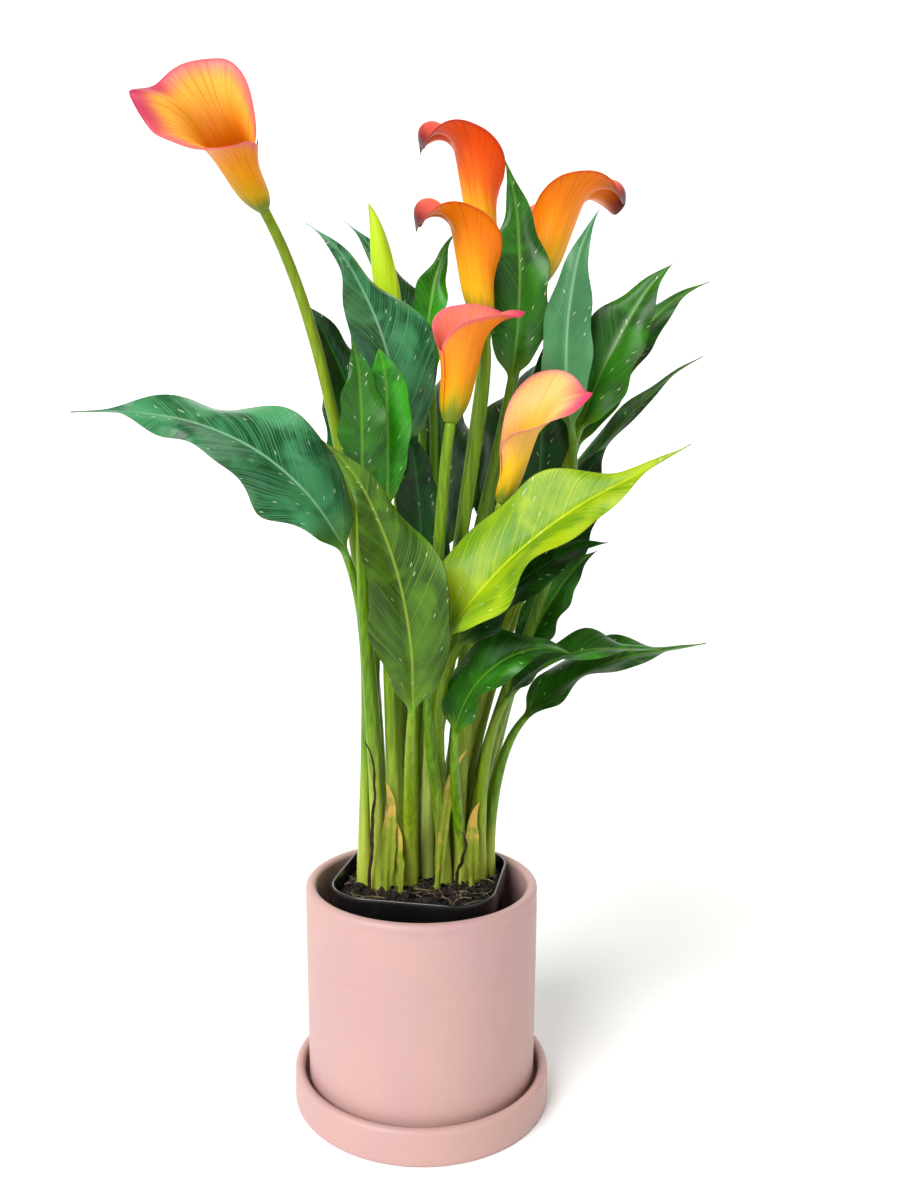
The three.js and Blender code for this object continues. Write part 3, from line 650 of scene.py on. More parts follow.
@dataclass
class Skin:
    """One piece's points and faces, each point with a place mark and a reach mark."""

    points: list[Vector] = field(default_factory=list)
    faces: list[tuple[int, ...]] = field(default_factory=list)
    places: list[Sequence[float]] = field(default_factory=list)
    reaches: list[Sequence[float]] = field(default_factory=list)

    def point(self, where: Vector, place: Sequence[float], reach: Sequence[float]) -> int:
        """Adds a point with its marks.

        Args:
            where: The point, in millimetres.
            place: Its place mark.
            reach: Its reach mark.

        Returns:
            The point's number.
        """
        self.points.append(where)
        self.places.append(place)
        self.reaches.append(reach)
        return len(self.points) - 1

    def loft(self, rings: Sequence[Sequence[int]]) -> None:
        """Joins rings of points, all anticlockwise about the way they advance, and closes both ends.

        Args:
            rings: The rings, each a list of point numbers.
        """
        count = len(rings[0])
        for low, high in zip(rings, rings[1:]):
            for j in range(count):
                k = (j + 1) % count
                self.faces.append((low[j], low[k], high[k], high[j]))
        self.faces.append(tuple(reversed(rings[0])))
        self.faces.append(tuple(rings[-1]))

    def piece(self, name: str, finish: Finish, *nodes: str) -> bpy.types.Object:
        """Makes the object, dresses it and puts it in the part.

        Args:
            name: The piece's name.
            finish: Its finish.
            *nodes: The design's nodes that it stands for.

        Returns:
            The new object.
        """
        mesh = bpy.data.meshes.new(name)
        mesh.from_pydata([p * MM for p in self.points], [], self.faces)
        for label, values in ((PLACE, self.places), (REACH, self.reaches)):
            layer = mesh.attributes.new(label, "FLOAT_VECTOR", "POINT")
            layer.data.foreach_set("vector", [part for value in values for part in value])
        mesh.shade_smooth()
        mesh.materials.append(finish.material())
        made = put_in_scene(name, mesh)
        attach(made, "root")
        if nodes:
            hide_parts(*nodes)
        log.info("%s: %d points in %s", name, len(self.points), finish.name)
        return made


@dataclass
class Station:
    """A place on a stalk or blade: its centre, the way ahead and the way it faces."""

    share: float
    centre: Vector
    way: Vector
    facing: Vector
    radius: float = 0.0

    @property
    def right(self) -> Vector:
        """The direction across the station, to the right of the way ahead."""
        return self.facing.cross(self.way)


def stalk_stations(start: Vector, top: Vector, arriving: Vector, radii: tuple[float, float],
                   arch: float, facing: Vector, steps: int) -> list[Station]:
    """Walks up a stalk: a straight root, then a curve that arrives along a direction.

    Args:
        start: The stalk's foot on the soil.
        top: The stalk's upper end.
        arriving: The way it points at its upper end.
        radii: Its radius at the foot and at the top.
        arch: How long it keeps to the arriving direction, as a share of its length.
        facing: The side that its upper face looks to.
        steps: How many steps the curve takes.

    Returns:
        The stations from the root upwards.
    """
    span = (top - start).length
    first = start + UP * (STRAIGHT_SHARE * span)
    last = top - arriving * (arch * span)
    root = start - UP * ROOT_DEPTH
    stations = [Station(-1.0, root, UP, square_to(UP, facing), radii[0])]
    for i in range(steps + 1):
        t = i / steps
        u = 1 - t
        centre = start * u**3 + first * (3 * u * u * t) + last * (3 * u * t * t) + top * t**3
        ahead = (first - start) * (u * u) + (last - first) * (2 * u * t) + (top - last) * (t * t)
        way = ahead.normalized()
        stations.append(Station(t - 1, centre, way, square_to(way, facing), lerp(*radii, t**1.8)))
    return stations


def tube_rings(skin: Skin, stations: Sequence[Station], count: int, seed: float,
               swell: float = 0.0, groove: float = 0.0) -> list[list[int]]:
    """Lays rings of points round a stalk.

    Args:
        skin: The skin that takes the points.
        stations: Where the rings go.
        count: How many points each ring has.
        seed: A number of the stalk's own, which sets its small unevenness.
        swell: How much thicker its foot is, as a share of the radius.
        groove: How deep the channel along its upper face is, as a share of the radius.

    Returns:
        The rings.
    """
    rings = []
    for station in stations:
        ring = []
        foot = bell(1 + station.share, 0.14)
        for angle, across, up in circle(count):
            spot = Vector((2 * across, 2 * up, 9 * station.share + seed))
            uneven = UNEVENNESS * noise.noise(spot)
            channel = groove * bell(angle - math.pi / 2, 0.5) * (1 - foot)
            radius = station.radius * (1 + swell * foot + uneven - channel)
            offset = station.right * (radius * across) + station.facing * (radius * up)
            reach = (radius * across, station.centre.z, seed)
            ring.append(skin.point(station.centre + offset, (across, station.share, up), reach))
        rings.append(ring)
    return rings


@dataclass(frozen=True)
class Leaf:
    """A leaf: a stalk rooted in the soil that widens into a folded, rippled blade."""

    name: str
    foot: tuple[float, float]
    neck: tuple[float, float, float]
    heading: float
    rise: float
    droop: float
    roll: float
    length: float
    width: float
    look: Leaves = Leaves.GREEN
    peak: float = 0.36
    taper: float = 1.25
    fold: float = 16.0
    wave: float = 2.6
    waves: float = 2.2
    phase: float = 0.0
    twist: float = 0.0
    curl: float = 12.0
    bulge: float = 0.09
    sway: float = 0.0
    stalk_radii: tuple[float, float] = (3.7, 2.1)

    STEPS = 84
    COUNT = 28
    THICKNESS = 0.55
    TIP_HALF_WIDTH = 0.12
    TIP_RIB = 0.25
    NECK_SHARE = 0.09
    LOBE_SHARE = 0.4
    LOBE_TURNS = 10.7
    SIDE_LAG = 2.1
    ARCH = 0.24
    FOOT_SWELL = 0.22
    GROOVE = 0.16

    def half_width(self, share: float) -> float:
        """Gives the blade's half width.

        Args:
            share: A share of the blade's length.

        Returns:
            The half width there.
        """
        if share < self.peak:
            return self.width * (1 - (1 - share / self.peak) ** 2) ** 0.72
        past = (share - self.peak) / (1 - self.peak)
        return self.width * max(0.0, math.cos(past * math.pi / 2)) ** self.taper

    def blade_stations(self) -> list[Station]:
        """Walks along the blade's spine, which droops and curls towards its tip.

        Returns:
            The stations from the neck to the tip.
        """
        centre = planted(self.neck)
        stations = []
        for i in range(self.STEPS + 1):
            share = i / self.STEPS
            rise = self.rise - self.droop * share - self.curl * smooth(share, 0.7, 1.0)
            heading = self.heading + self.sway * smooth(share, 0.2, 1.0)
            way = pointing(heading, rise)
            if i:
                centre = centre + way * (self.length / self.STEPS)
            roll = self.roll + self.twist * math.sin(math.pi * share * 1.5)
            turn = Matrix.Rotation(-math.radians(roll), 3, way)
            stations.append(Station(share, centre, way, turn @ pointing(heading, rise + 90)))
        return stations

    def blade_ring(self, skin: Skin, station: Station, seed: float) -> list[int]:
        """Lays one ring of points round the blade, upper face first.

        Args:
            skin: The skin that takes the points.
            station: Where the ring goes.
            seed: A number of the leaf's own.

        Returns:
            The ring.
        """
        s = station.share
        neck = self.stalk_radii[1]
        half = max(self.TIP_HALF_WIDTH, self.half_width(s))
        flat = smooth(s, 0.0, self.NECK_SHARE)
        fold = math.radians(self.fold) * flat
        ring = []
        for _, across, up in circle(self.COUNT):
            margin = abs(across) ** 2.2
            side = 0.0 if across > 0 else self.SIDE_LAG
            turn = self.LOBE_TURNS * self.waves * s + 2 * self.phase + side
            lobe = self.LOBE_SHARE * self.wave * abs(across) * math.sin(turn)
            lobe *= smooth(s, 0.05, 0.3) * smooth(1 - s, 0.02, 0.4) * math.copysign(1, across)
            ripple = self.wave * margin * math.sin(2 * math.pi * self.waves * s + self.phase + side)
            ripple *= smooth(s, 0.03, 0.25) * smooth(1 - s, 0.02, 0.3)
            spread = math.sqrt(across * across + 0.012) - 0.11
            rib = lerp(neck, self.TIP_RIB, min(1.0, s / 0.8)) * bell(across * half, 1.1)
            thick = self.THICKNESS * (1 - abs(across) ** 5) / 2 + 0.05
            lift = thick * up - (rib if up < 0 else 0.3 * rib)
            lift += spread * half * math.sin(fold) + ripple
            lift += self.bulge * half * math.sin(math.pi * min(1.0, abs(across)))
            wide = max(half, neck * (1 - flat)) * across
            offset = station.right * lerp(neck * across, wide * math.cos(fold) + lobe, flat)
            offset += station.facing * lerp(neck * up, lift, flat)
            place = (across, s, up * 3)
            ring.append(skin.point(station.centre + offset, place, (half * across, self.length * s, seed)))
        return ring

    def build(self) -> None:
        """Builds the leaf's stalk and blade as one piece."""
        seed = own_number(self.name)
        skin = Skin()
        blade = self.blade_stations()
        stalk = stalk_stations(rooted(self.foot), planted(self.neck), blade[0].way, self.stalk_radii,
                               self.ARCH, blade[0].facing, 26)
        rings = tube_rings(skin, stalk[:-1], self.COUNT, seed, self.FOOT_SWELL, self.GROOVE)
        rings += [self.blade_ring(skin, station, seed) for station in blade]
        skin.loft(rings)
        skin.piece(f"{self.name}_fine", self.look.value, self.name)


@dataclass(frozen=True)
class Stem:
    """A round flower stem, rooted in the soil, that bends into the flower's own axis."""

    name: str
    foot: tuple[float, float]
    base: tuple[float, float, float]
    axis: tuple[float, float]
    arriving: tuple[float, float]
    arch: float = 0.14
    radii: tuple[float, float] = (3.6, 2.8)

    NECK = 8.0
    COUNT = 20
    STEPS = 34
    NECK_STEPS = 4
    FOOT_SWELL = 0.14

    def build(self) -> None:
        """Builds the stem."""
        seed = own_number(self.name)
        axis = pointing(*self.axis)
        base = planted(self.base)
        bend = base - axis * self.NECK
        facing = pointing(90, 0)
        stations = stalk_stations(rooted(self.foot), bend, pointing(*self.arriving), self.radii,
                                  self.arch, facing, self.STEPS)
        for i in range(1, self.NECK_STEPS + 1):
            centre = bend + axis * (self.NECK * i / self.NECK_STEPS)
            stations.append(Station(0.0, centre, axis, square_to(axis, facing), self.radii[1]))
        skin = Skin()
        skin.loft(tube_rings(skin, stations, self.COUNT, seed, self.FOOT_SWELL))
        skin.piece(f"{self.name}_fine", STEM_SKIN, self.name)


@dataclass(frozen=True)
class Flower:
    """A calla flower: a sheet rolled into a trumpet, the beaded spike in it, and its stem."""

    name: str
    foot: tuple[float, float]
    base: tuple[float, float, float]
    heading: float
    rise: float
    tip_heading: float
    length: float
    front: float
    tube: float
    open: float
    flare: float
    hook: float
    tip: float
    finish: SpatheFinish
    stem_way: tuple[float, float] | None = None
    arch: float = 0.14
    curl: float = 0.0
    rim_roll: float = 18.0
    flute: float = 0.5
    cone: float = 24.0
    lean: float = 0.0
    sweep: float = 0.3

    BASE_RADIUS = 2.9
    WRAP = 1.1
    SPIRAL = 0.08
    THICKNESS = 0.6
    TURNS = 88
    RISES = 44
    WALK = 132
    SPIKE_SHARE = 0.4
    SPIKE_RADIUS = 2.3
    SPIKE_GAP = 0.4
    SPIKE_STEPS = 64
    SPIKE_COUNT = 40
    BEAD = 0.16

    def frame(self) -> Matrix:
        """Places the flower.

        Returns:
            The frame whose third axis is the flower's own and whose first looks to its tip.
        """
        axis = pointing(self.heading, self.rise)
        back = square_to(axis, pointing(self.tip_heading, 0))
        made = Matrix((back, axis.cross(back), axis)).transposed().to_4x4()
        made.translation = planted(self.base)
        return made

    def sheet_length(self, turn: float) -> float:
        """Gives the sheet's length along one line from base to rim: longest at the tip.

        Args:
            turn: The angle round the flower, 0 at the tip.

        Returns:
            The length.
        """
        share = ((1 + math.cos(turn)) / 2) ** 0.8
        full = self.length * lerp(self.front, 1, share) * (1 - self.lean * math.sin(turn))
        swept = 1 - self.sweep * smooth(abs(turn), 0.5 * math.pi, self.WRAP * math.pi)
        return full * swept + self.tip * bell(turn, 0.27)

    def meridian(self, turn: float) -> list[tuple[float, float, float]]:
        """Walks along the sheet from its base to its rim.

        Args:
            turn: The angle round the flower, 0 at the tip.

        Returns:
            Radius, height and the angle off the axis, one for each row of the sheet.
        """
        length = self.sheet_length(turn)
        hook = self.hook * bell(turn, 0.75)
        tail = self.curl * bell(turn, 0.4)
        radius, height = self.BASE_RADIUS, 0.0
        rows = [(radius, height, 0.0)]
        for i in range(self.WALK):
            t = (i + 0.5) / self.WALK
            angle = self.tube + self.cone * (1 - smooth(t, 0, 0.3)) + self.flare * smooth(t, self.open, 1)
            angle += hook * smooth(t, 0.64, 1) + tail * smooth(t, 0.8, 1)
            angle += self.rim_roll * (1 - bell(turn, 0.5)) * smooth(t, 0.9, 1)
            angle *= 1 - 0.6 * smooth(abs(turn), 0.65 * math.pi, self.WRAP * math.pi) * smooth(t, 0.3, 0.8)
            radius += math.sin(math.radians(angle)) * length / self.WALK
            height += math.cos(math.radians(angle)) * length / self.WALK
            if (i + 1) % (self.WALK // self.RISES) == 0:
                rows.append((radius, height, math.radians(angle)))
        return rows

    def spathe(self) -> None:
        """Builds the rolled sheet with its thickness and its two overlapping edges."""
        skin = Skin()
        place = self.frame()
        grid = {1: [], -1: []}
        for i in range(self.TURNS + 1):
            turn = lerp(-1, 1, i / self.TURNS) * self.WRAP * math.pi
            spread = 1 + self.SPIRAL * turn / math.pi
            ray = Vector((math.cos(turn), math.sin(turn), 0))
            columns = {1: [], -1: []}
            for j, (radius, height, angle) in enumerate(self.meridian(turn)):
                t = j / self.RISES
                flute = self.flute * smooth(t, 0.55, 1) * math.sin(4 * turn + 1.0) * (1 - bell(turn, 0.8))
                tip = bell(turn, 0.16) * smooth(t, 0.9, 1)
                normal = ray * math.cos(angle) - UP * math.sin(angle)
                thin = self.THICKNESS * (1 - 0.65 * smooth(t, 0.8, 1)) / 2
                centre = ray * (radius * spread) + UP * height + normal * flute
                centre.y *= 1 - 0.35 * tip
                for side in (1, -1):
                    where = place @ (centre + normal * (side * thin))
                    mark = (turn / math.pi, t, float(side))
                    columns[side].append(skin.point(where, mark, (turn * 20, t * self.length, 0.0)))
            for side in (1, -1):
                grid[side].append(columns[side])
        self.close(skin, grid[1], grid[-1])
        skin.piece(f"{self.name}_petal", self.finish, f"{self.name}_spathe")

    def close(self, skin: Skin, outer: list[list[int]], inner: list[list[int]]) -> None:
        """Adds the sheet's faces: both sides, its rim, its base and its two edges.

        Args:
            skin: The skin that takes the faces.
            outer: The outer side's points, column by column.
            inner: The inner side's points, column by column.
        """
        for i in range(self.TURNS):
            for j in range(self.RISES):
                skin.faces.append((outer[i][j], outer[i + 1][j], outer[i + 1][j + 1], outer[i][j + 1]))
                skin.faces.append((inner[i][j], inner[i][j + 1], inner[i + 1][j + 1], inner[i + 1][j]))
            skin.faces.append((outer[i][0], inner[i][0], inner[i + 1][0], outer[i + 1][0]))
            skin.faces.append((outer[i][-1], outer[i + 1][-1], inner[i + 1][-1], inner[i][-1]))
        for j in range(self.RISES):
            skin.faces.append((outer[0][j], outer[0][j + 1], inner[0][j + 1], inner[0][j]))
            skin.faces.append((outer[-1][j], inner[-1][j], inner[-1][j + 1], outer[-1][j + 1]))

    def spadix(self) -> None:
        """Builds the spike, its skin raised into spiral rows of small beads."""
        skin = Skin()
        place = self.frame()
        length = self.length * self.SPIKE_SHARE
        rings = []
        for i in range(self.SPIKE_STEPS + 1):
            s = i / self.SPIKE_STEPS
            body = self.SPIKE_RADIUS * min(1.0, (1 - s) * 4) ** 0.5 * lerp(0.88, 1.0, smooth(s, 0, 0.3))
            ring = []
            for angle, across, up in circle(self.SPIKE_COUNT):
                bead = self.BEAD * math.sin(10 * angle + 36 * s) * math.sin(10 * angle - 36 * s)
                radius = max(0.15, body + bead * min(1.0, 6 * (1 - s)))
                where = Vector((radius * across, radius * up, self.SPIKE_GAP + s * length))
                # The first reach mark follows each bead's height, so the finish paints the bead tops paler
                # and the hollows between them darker: painted highlight and painted shade.
                ring.append(skin.point(place @ where, (angle, s, 1.0), (0.5 + bead * 3, 0.0, 0.0)))
            rings.append(ring)
        skin.loft(rings)
        skin.piece(f"{self.name}_spike", SPADIX_SKIN, f"{self.name}_spadix")

    def build(self) -> None:
        """Builds the whole flower."""
        axis = (self.heading, self.rise)
        self.spathe()
        self.spadix()
        arriving = self.stem_way or axis
        Stem(f"{self.name}_stem", self.foot, self.base, axis, arriving, self.arch).build()


@dataclass(frozen=True)
class Bud:
    """A bud: a sheet still rolled into a slim, leaning spindle."""

    foot: tuple[float, float] = (-13, 11)
    base: tuple[float, float, float] = (-12, 20, 298)
    heading: float = 184
    rise: float = 77
    lean: float = -6
    length: float = 84
    width: float = 6.8

    STEPS = 60
    COUNT = 40

    def build(self) -> None:
        """Builds the spindle, with the step where its sheet overlaps winding up it."""
        skin = Skin()
        centre = planted(self.base)
        rings = []
        for i in range(self.STEPS + 1):
            s = i / self.STEPS
            way = pointing(self.heading, self.rise - self.lean * s - 14 * smooth(s, 0.75, 1))
            if i:
                centre = centre + way * (self.length / self.STEPS)
            facing = square_to(way, pointing(90, 0))
            swell = math.sin(math.pi * min(1.0, s**0.8)) ** 0.7 * self.width
            body = max(lerp(2.8, 0.25, s), swell)
            seam = math.radians(240 + 150 * s)
            ring = []
            for angle, across, up in circle(self.COUNT):
                round_seam = ((angle - seam) % (2 * math.pi)) / (2 * math.pi)
                overlap = 0.14 * (1 - round_seam) * smooth(s, 0.06, 0.3)
                radius = body * (0.95 + overlap * smooth(round_seam, 0.0, 0.03))
                offset = facing.cross(way) * (radius * across) + facing * (radius * up)
                mark = (lerp(-1, 1, round_seam), 0.12 + 0.88 * s, 1.0)
                ring.append(skin.point(centre + offset, mark, (angle, s, 0.0)))
            rings.append(ring)
        skin.loft(rings)
        skin.piece("bud_petal", BUD_SKIN, "bud_spathe")
        axis = (self.heading, self.rise)
        Stem("bud_stem", self.foot, self.base, axis, axis).build()


@dataclass(frozen=True)
class Sheath:
    """A papery sheath: a narrow, curled blade that stands on the soil against its stalk."""

    name: str
    foot: tuple[float, float]
    heading: float
    rise: float
    droop: float
    roll: float
    length: float
    width: float

    ROOT_RADIUS = 1.7

    def build(self) -> None:
        """Builds the sheath as a narrow leaf with no stalk of its own."""
        foot = rooted(self.foot)
        shape = Leaf(self.name, self.foot, (0, 0, 0), self.heading, self.rise, self.droop, self.roll,
                     self.length, self.width, peak=0.4, taper=0.8, fold=-24, wave=0.5, waves=3.1, curl=26)
        skin = Skin()
        blade = shape.blade_stations()
        shift = foot - blade[0].centre
        blade = [replace(station, centre=station.centre + shift) for station in blade]
        root = Station(-1.0, foot - UP * ROOT_DEPTH, UP, blade[0].facing, self.ROOT_RADIUS)
        rings = tube_rings(skin, [root], shape.COUNT, 1.0)
        rings += [shape.blade_ring(skin, station, 1.0) for station in blade]
        skin.loft(rings)
        for i, place in enumerate(skin.places):
            skin.reaches[i] = (smooth(place[1], 0.35, 1.0) + 0.05, 0.0, 0.0)
        skin.piece(f"{self.name}_fine", SHEATH_SKIN, self.name)


@dataclass(frozen=True)
class Strand:
    """A dried brown strand, kinked and knotty."""

    name: str
    foot: tuple[float, float]
    top: tuple[float, float, float]
    heading: float
    rise: float

    RADII = (1.1, 0.35)
    ARCH = 0.24
    SEED = 5

    def build(self) -> None:
        """Builds the strand, whose wobble starts from a seed and so is the same in every run."""
        noise.seed_set(self.SEED)
        way = pointing(self.heading, self.rise)
        stations = stalk_stations(rooted(self.foot), planted(self.top), way, self.RADII, self.ARCH,
                                  pointing(90, 0), 40)
        for station in stations:
            wobble = noise.noise_vector(station.centre * 0.09) * 1.2
            station.centre = station.centre + wobble * smooth(station.share, -1, -0.7)
            station.radius *= 1 + 0.5 * noise.noise(station.centre * 0.23)
        skin = Skin()
        skin.loft(tube_rings(skin, stations, 12, 3.0))
        skin.piece(f"{self.name}_fine", STRAND_SKIN, self.name)


@dataclass(frozen=True)
class NurseryPot:
    """The black pot: a rounded square whose folded band stands proud of its walls."""

    side: float = 92.0
    corner: float = 25.0
    base_side: float = 72.0
    height: float = 114.0
    wall: float = 1.2
    band: float = 10.0
    step: float = 1.4

    CORNER_STEPS = 16
    FLAT_STEPS = 8

    def outline(self, side: float, inset: float = 0.0) -> list[Vector]:
        """Returns the pot's outline at a level, anticlockwise.

        Args:
            side: The side of the rounded square.
            inset: How far the outline is drawn in.

        Returns:
            The outline's points, at no height.
        """
        half = side / 2 - inset
        corner = max(1.0, self.corner * side / self.side - inset)
        turn = Matrix.Rotation(math.radians(NURSERY_TURN), 3, "Z")
        corners = []
        for quarter in range(4):
            middle = math.radians(45 + 90 * quarter)
            centre = Vector((math.copysign(half - corner, math.cos(middle)),
                             math.copysign(half - corner, math.sin(middle)), 0))
            steps = range(self.CORNER_STEPS + 1)
            arc = [middle + math.radians(lerp(-45, 45, i / self.CORNER_STEPS)) for i in steps]
            corners.append([centre + corner * Vector((math.cos(a), math.sin(a), 0)) for a in arc])
        points = []
        for arc, after in zip(corners, corners[1:] + corners[:1]):
            points += arc
            points += [arc[-1].lerp(after[0], i / self.FLAT_STEPS) for i in range(1, self.FLAT_STEPS)]
        return [turn @ p + Vector((0, NURSERY_CENTRE_Y, 0)) for p in points]

    def side_at(self, height: float) -> float:
        """Returns the side of the wall's outline below the band, at a height."""
        return lerp(self.base_side, self.side - 2 * self.step, height / (self.height - self.band))

    def levels(self) -> list[tuple[float, float, float]]:
        """Walks along the pot's wall, from the base out, up, over the rim and in.

        Returns:
            Side, height and inset for each ring.
        """
        shoulder = self.height - self.band
        lip = self.wall / 2
        rows = [(self.side_at(0), 0.8, 0.0), (self.side_at(0), 0.2, 0.3), (self.side_at(0), 0.0, 1.0)]
        rows.reverse()
        rows += [(self.side_at(h), h, 0.0) for h in (3, 20, 50, 80, shoulder - self.step - 0.6)]
        rows += [(self.side, shoulder - self.step, self.step * 0.9), (self.side, shoulder - 0.9, 0.25)]
        rows += [(self.side, shoulder, 0.0), (self.side, self.height - 2.4, 0.15)]
        for i in range(7):
            angle = math.pi * i / 6
            top = self.height - lip + lip * math.sin(angle)
            rows.append((self.side, top, 0.3 + lip - lip * math.cos(angle)))
        rows.append((self.side, self.height - 4, self.wall + 0.9))
        rows.append((self.side, shoulder, self.step + self.wall))
        rows += [(self.side_at(h), h, self.wall) for h in (60, 3, self.wall)]
        return rows

    def build(self) -> None:
        """Builds the pot without its drain holes, which nothing shows."""
        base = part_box("nursery_pot")[0].z / MM
        skin = Skin()
        rings = []
        for side, height, inset in self.levels():
            ring = []
            for p in self.outline(side, inset):
                sag = 0.35 * noise.noise(p * 0.03) * smooth(height, 60, self.height)
                where = p * (1 + sag / 60) + UP * (base + height)
                ring.append(skin.point(where, (p.x, height, 0.0), (0.5, 0.0, 0.0)))
            rings.append(ring)
        skin.loft(rings)
        skin.piece("nursery_pot_fine", PLASTIC, "nursery_pot")


@dataclass(frozen=True)
class Soil:
    """Potting mix: a lumpy body, crumbs of bark and peat, and loose pale fibres."""

    pot: NurseryPot = NurseryPot()
    clearance: float = 0.3
    crumbs: int = 1500
    fibres: int = 170

    def half(self) -> float:
        """Returns half the side of the soil's surface."""
        return self.pot.side / 2 - self.pot.step - self.pot.wall - self.clearance

    def lump(self, x: float, y: float) -> float:
        """Returns the height of the surface above the soil's level at a place."""
        broad = 1.1 * (math.sin(x / 6 + 1) * math.cos(y / 5) + 0.6 * math.sin(x / 3 - y / 4))
        return 0.8 * broad + 0.7 * noise.noise(Vector((x, y, 0)) * 0.35)

    def inside(self, x: float, y: float, margin: float) -> bool:
        """Tells whether a place lies on the soil.

        Args:
            x: The place, along +X.
            y: The place, along +Y.
            margin: How far inside the soil's edge it has to lie.

        Returns:
            Whether it does.
        """
        turn = Matrix.Rotation(-math.radians(NURSERY_TURN), 3, "Z")
        p = turn @ Vector((x, y - NURSERY_CENTRE_Y, 0))
        straight = self.pot.side / 2 - self.pot.corner
        past = [max(abs(p.x) - straight, 0.0), max(abs(p.y) - straight, 0.0)]
        return math.hypot(*past) < self.half() - straight - margin

    def body(self) -> None:
        """Builds the body of the soil, which fills the pot."""
        skin = Skin()
        level = soil_level()
        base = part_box("nursery_pot")[0].z / MM + self.pot.wall + self.clearance
        inset = self.pot.wall + self.clearance
        outlines = [(self.pot.outline(self.pot.side_at(0), inset), base)]
        outlines.append((self.pot.outline(self.pot.side, inset + self.pot.step), level - 3))
        rings = [[skin.point(p + UP * z, (0, 0, 0), (0.5, 0, 0)) for p in line] for line, z in outlines]
        steps = 22
        for i in range(steps):
            share = 1 - i / steps
            ring = []
            for p in self.pot.outline(2 * self.half() * share):
                height = level + self.lump(p.x, p.y) - (1.2 if i == 0 else 0.0)
                ring.append(skin.point(Vector((p.x, p.y, height)), (0, 0, 0), (0.5, 0, 0)))
            rings.append(ring)
        skin.loft(rings)
        skin.piece("soil_body", SOIL_SKIN, "soil")

    def scatter(self, dice: random.Random, margin: float) -> Vector:
        """Picks a random place on the soil's surface.

        Args:
            dice: The source of chance.
            margin: How far inside the soil's edge it lies.

        Returns:
            The place.
        """
        while True:
            x, y = dice.uniform(-60, 60), dice.uniform(-56, 64)
            if self.inside(x, y, margin):
                return Vector((x, y, soil_level() + self.lump(x, y)))

    def crumb(self, skin: Skin, centre: Vector, size: float, dice: random.Random) -> None:
        """Adds one crumb: a small uneven lump, sometimes flattened into a chip of bark.

        Args:
            skin: The skin that takes the crumb.
            centre: Its middle.
            size: Its half length.
            dice: The source of chance.
        """
        shape = [dice.uniform(0.75, 1.25), dice.uniform(0.5, 0.9), dice.uniform(0.3, 0.8)]
        axis = Vector([dice.uniform(-1, 1) for _ in range(3)]).normalized()
        turn = Matrix.Rotation(dice.uniform(0, math.pi), 3, axis)
        own = dice.random()
        rings = []
        for k in range(1, 5):
            polar = math.pi * k / 5
            ring = []
            for _, east, north in circle(7):
                p = Vector((math.sin(polar) * east * shape[0], math.sin(polar) * north * shape[1],
                            -math.cos(polar) * shape[2]))
                where = centre + turn @ (p * size * dice.uniform(0.82, 1.18))
                ring.append(skin.point(where, (0, 0, 0), (own, 0, 0)))
            rings.append(ring)
        skin.loft(rings)

    def crumble(self) -> None:
        """Builds the crumbs as one piece."""
        dice = random.Random(11)
        skin = Skin()
        for _ in range(self.crumbs):
            size = dice.choice((0.7, 0.9, 1.1, 1.4, 2.0, 2.6))
            centre = self.scatter(dice, size * 1.3)
            self.crumb(skin, centre + UP * (0.3 * size), size, dice)
        skin.piece("soil_crumbs", CRUMB_SKIN)

    def fibre_pile(self) -> None:
        """Builds the fibres: short bent threads that lie on the crumbs."""
        dice = random.Random(23)
        skin = Skin()
        for _ in range(self.fibres):
            start = self.scatter(dice, 7)
            heading = dice.uniform(0, 360)
            length = dice.uniform(6, 22)
            bend = dice.uniform(-150, 150)
            thick = dice.uniform(0.18, 0.42)
            own = dice.random()
            rings = []
            centre = start + UP * 1.0
            for i in range(9):
                s = i / 8
                way = pointing(heading + bend * s, 16 * math.cos(3 * s))
                centre = centre + way * (length / 8)
                if not self.inside(centre.x, centre.y, 1.5):
                    break
                level = soil_level() + self.lump(centre.x, centre.y) + 0.9
                centre.z = max(centre.z, level)
                side = way.cross(UP).normalized()
                ring = []
                for _, across, up in circle(5):
                    offset = (side * across + UP * up) * thick * (1 - 0.7 * s)
                    ring.append(skin.point(centre + offset, (0, s, 0), (own, 0, 0)))
                rings.append(ring)
            if len(rings) > 1:
                skin.loft([list(reversed(ring)) for ring in rings])
        skin.piece("soil_fibres", FIBRE_SKIN)

    def build(self) -> None:
        """Builds the soil's body, crumbs and fibres."""
        self.body()
        self.crumble()
        self.fibre_pile()


def rounded(centre: tuple[float, float], radius: float, start: float, end: float,
            steps: int = 8) -> list[tuple[float, float]]:
    """Returns the points of a rounded edge of a turned profile.

    Args:
        centre: Radius and height of the edge's middle.
        radius: The edge's own radius.
        start: The angle it starts at.
        end: The angle it ends at.
        steps: How many steps it takes.

    Returns:
        Radius and height of each point.
    """
    angles = [math.radians(lerp(start, end, i / steps)) for i in range(steps + 1)]
    return [(centre[0] + radius * math.cos(a), centre[1] + radius * math.sin(a)) for a in angles]


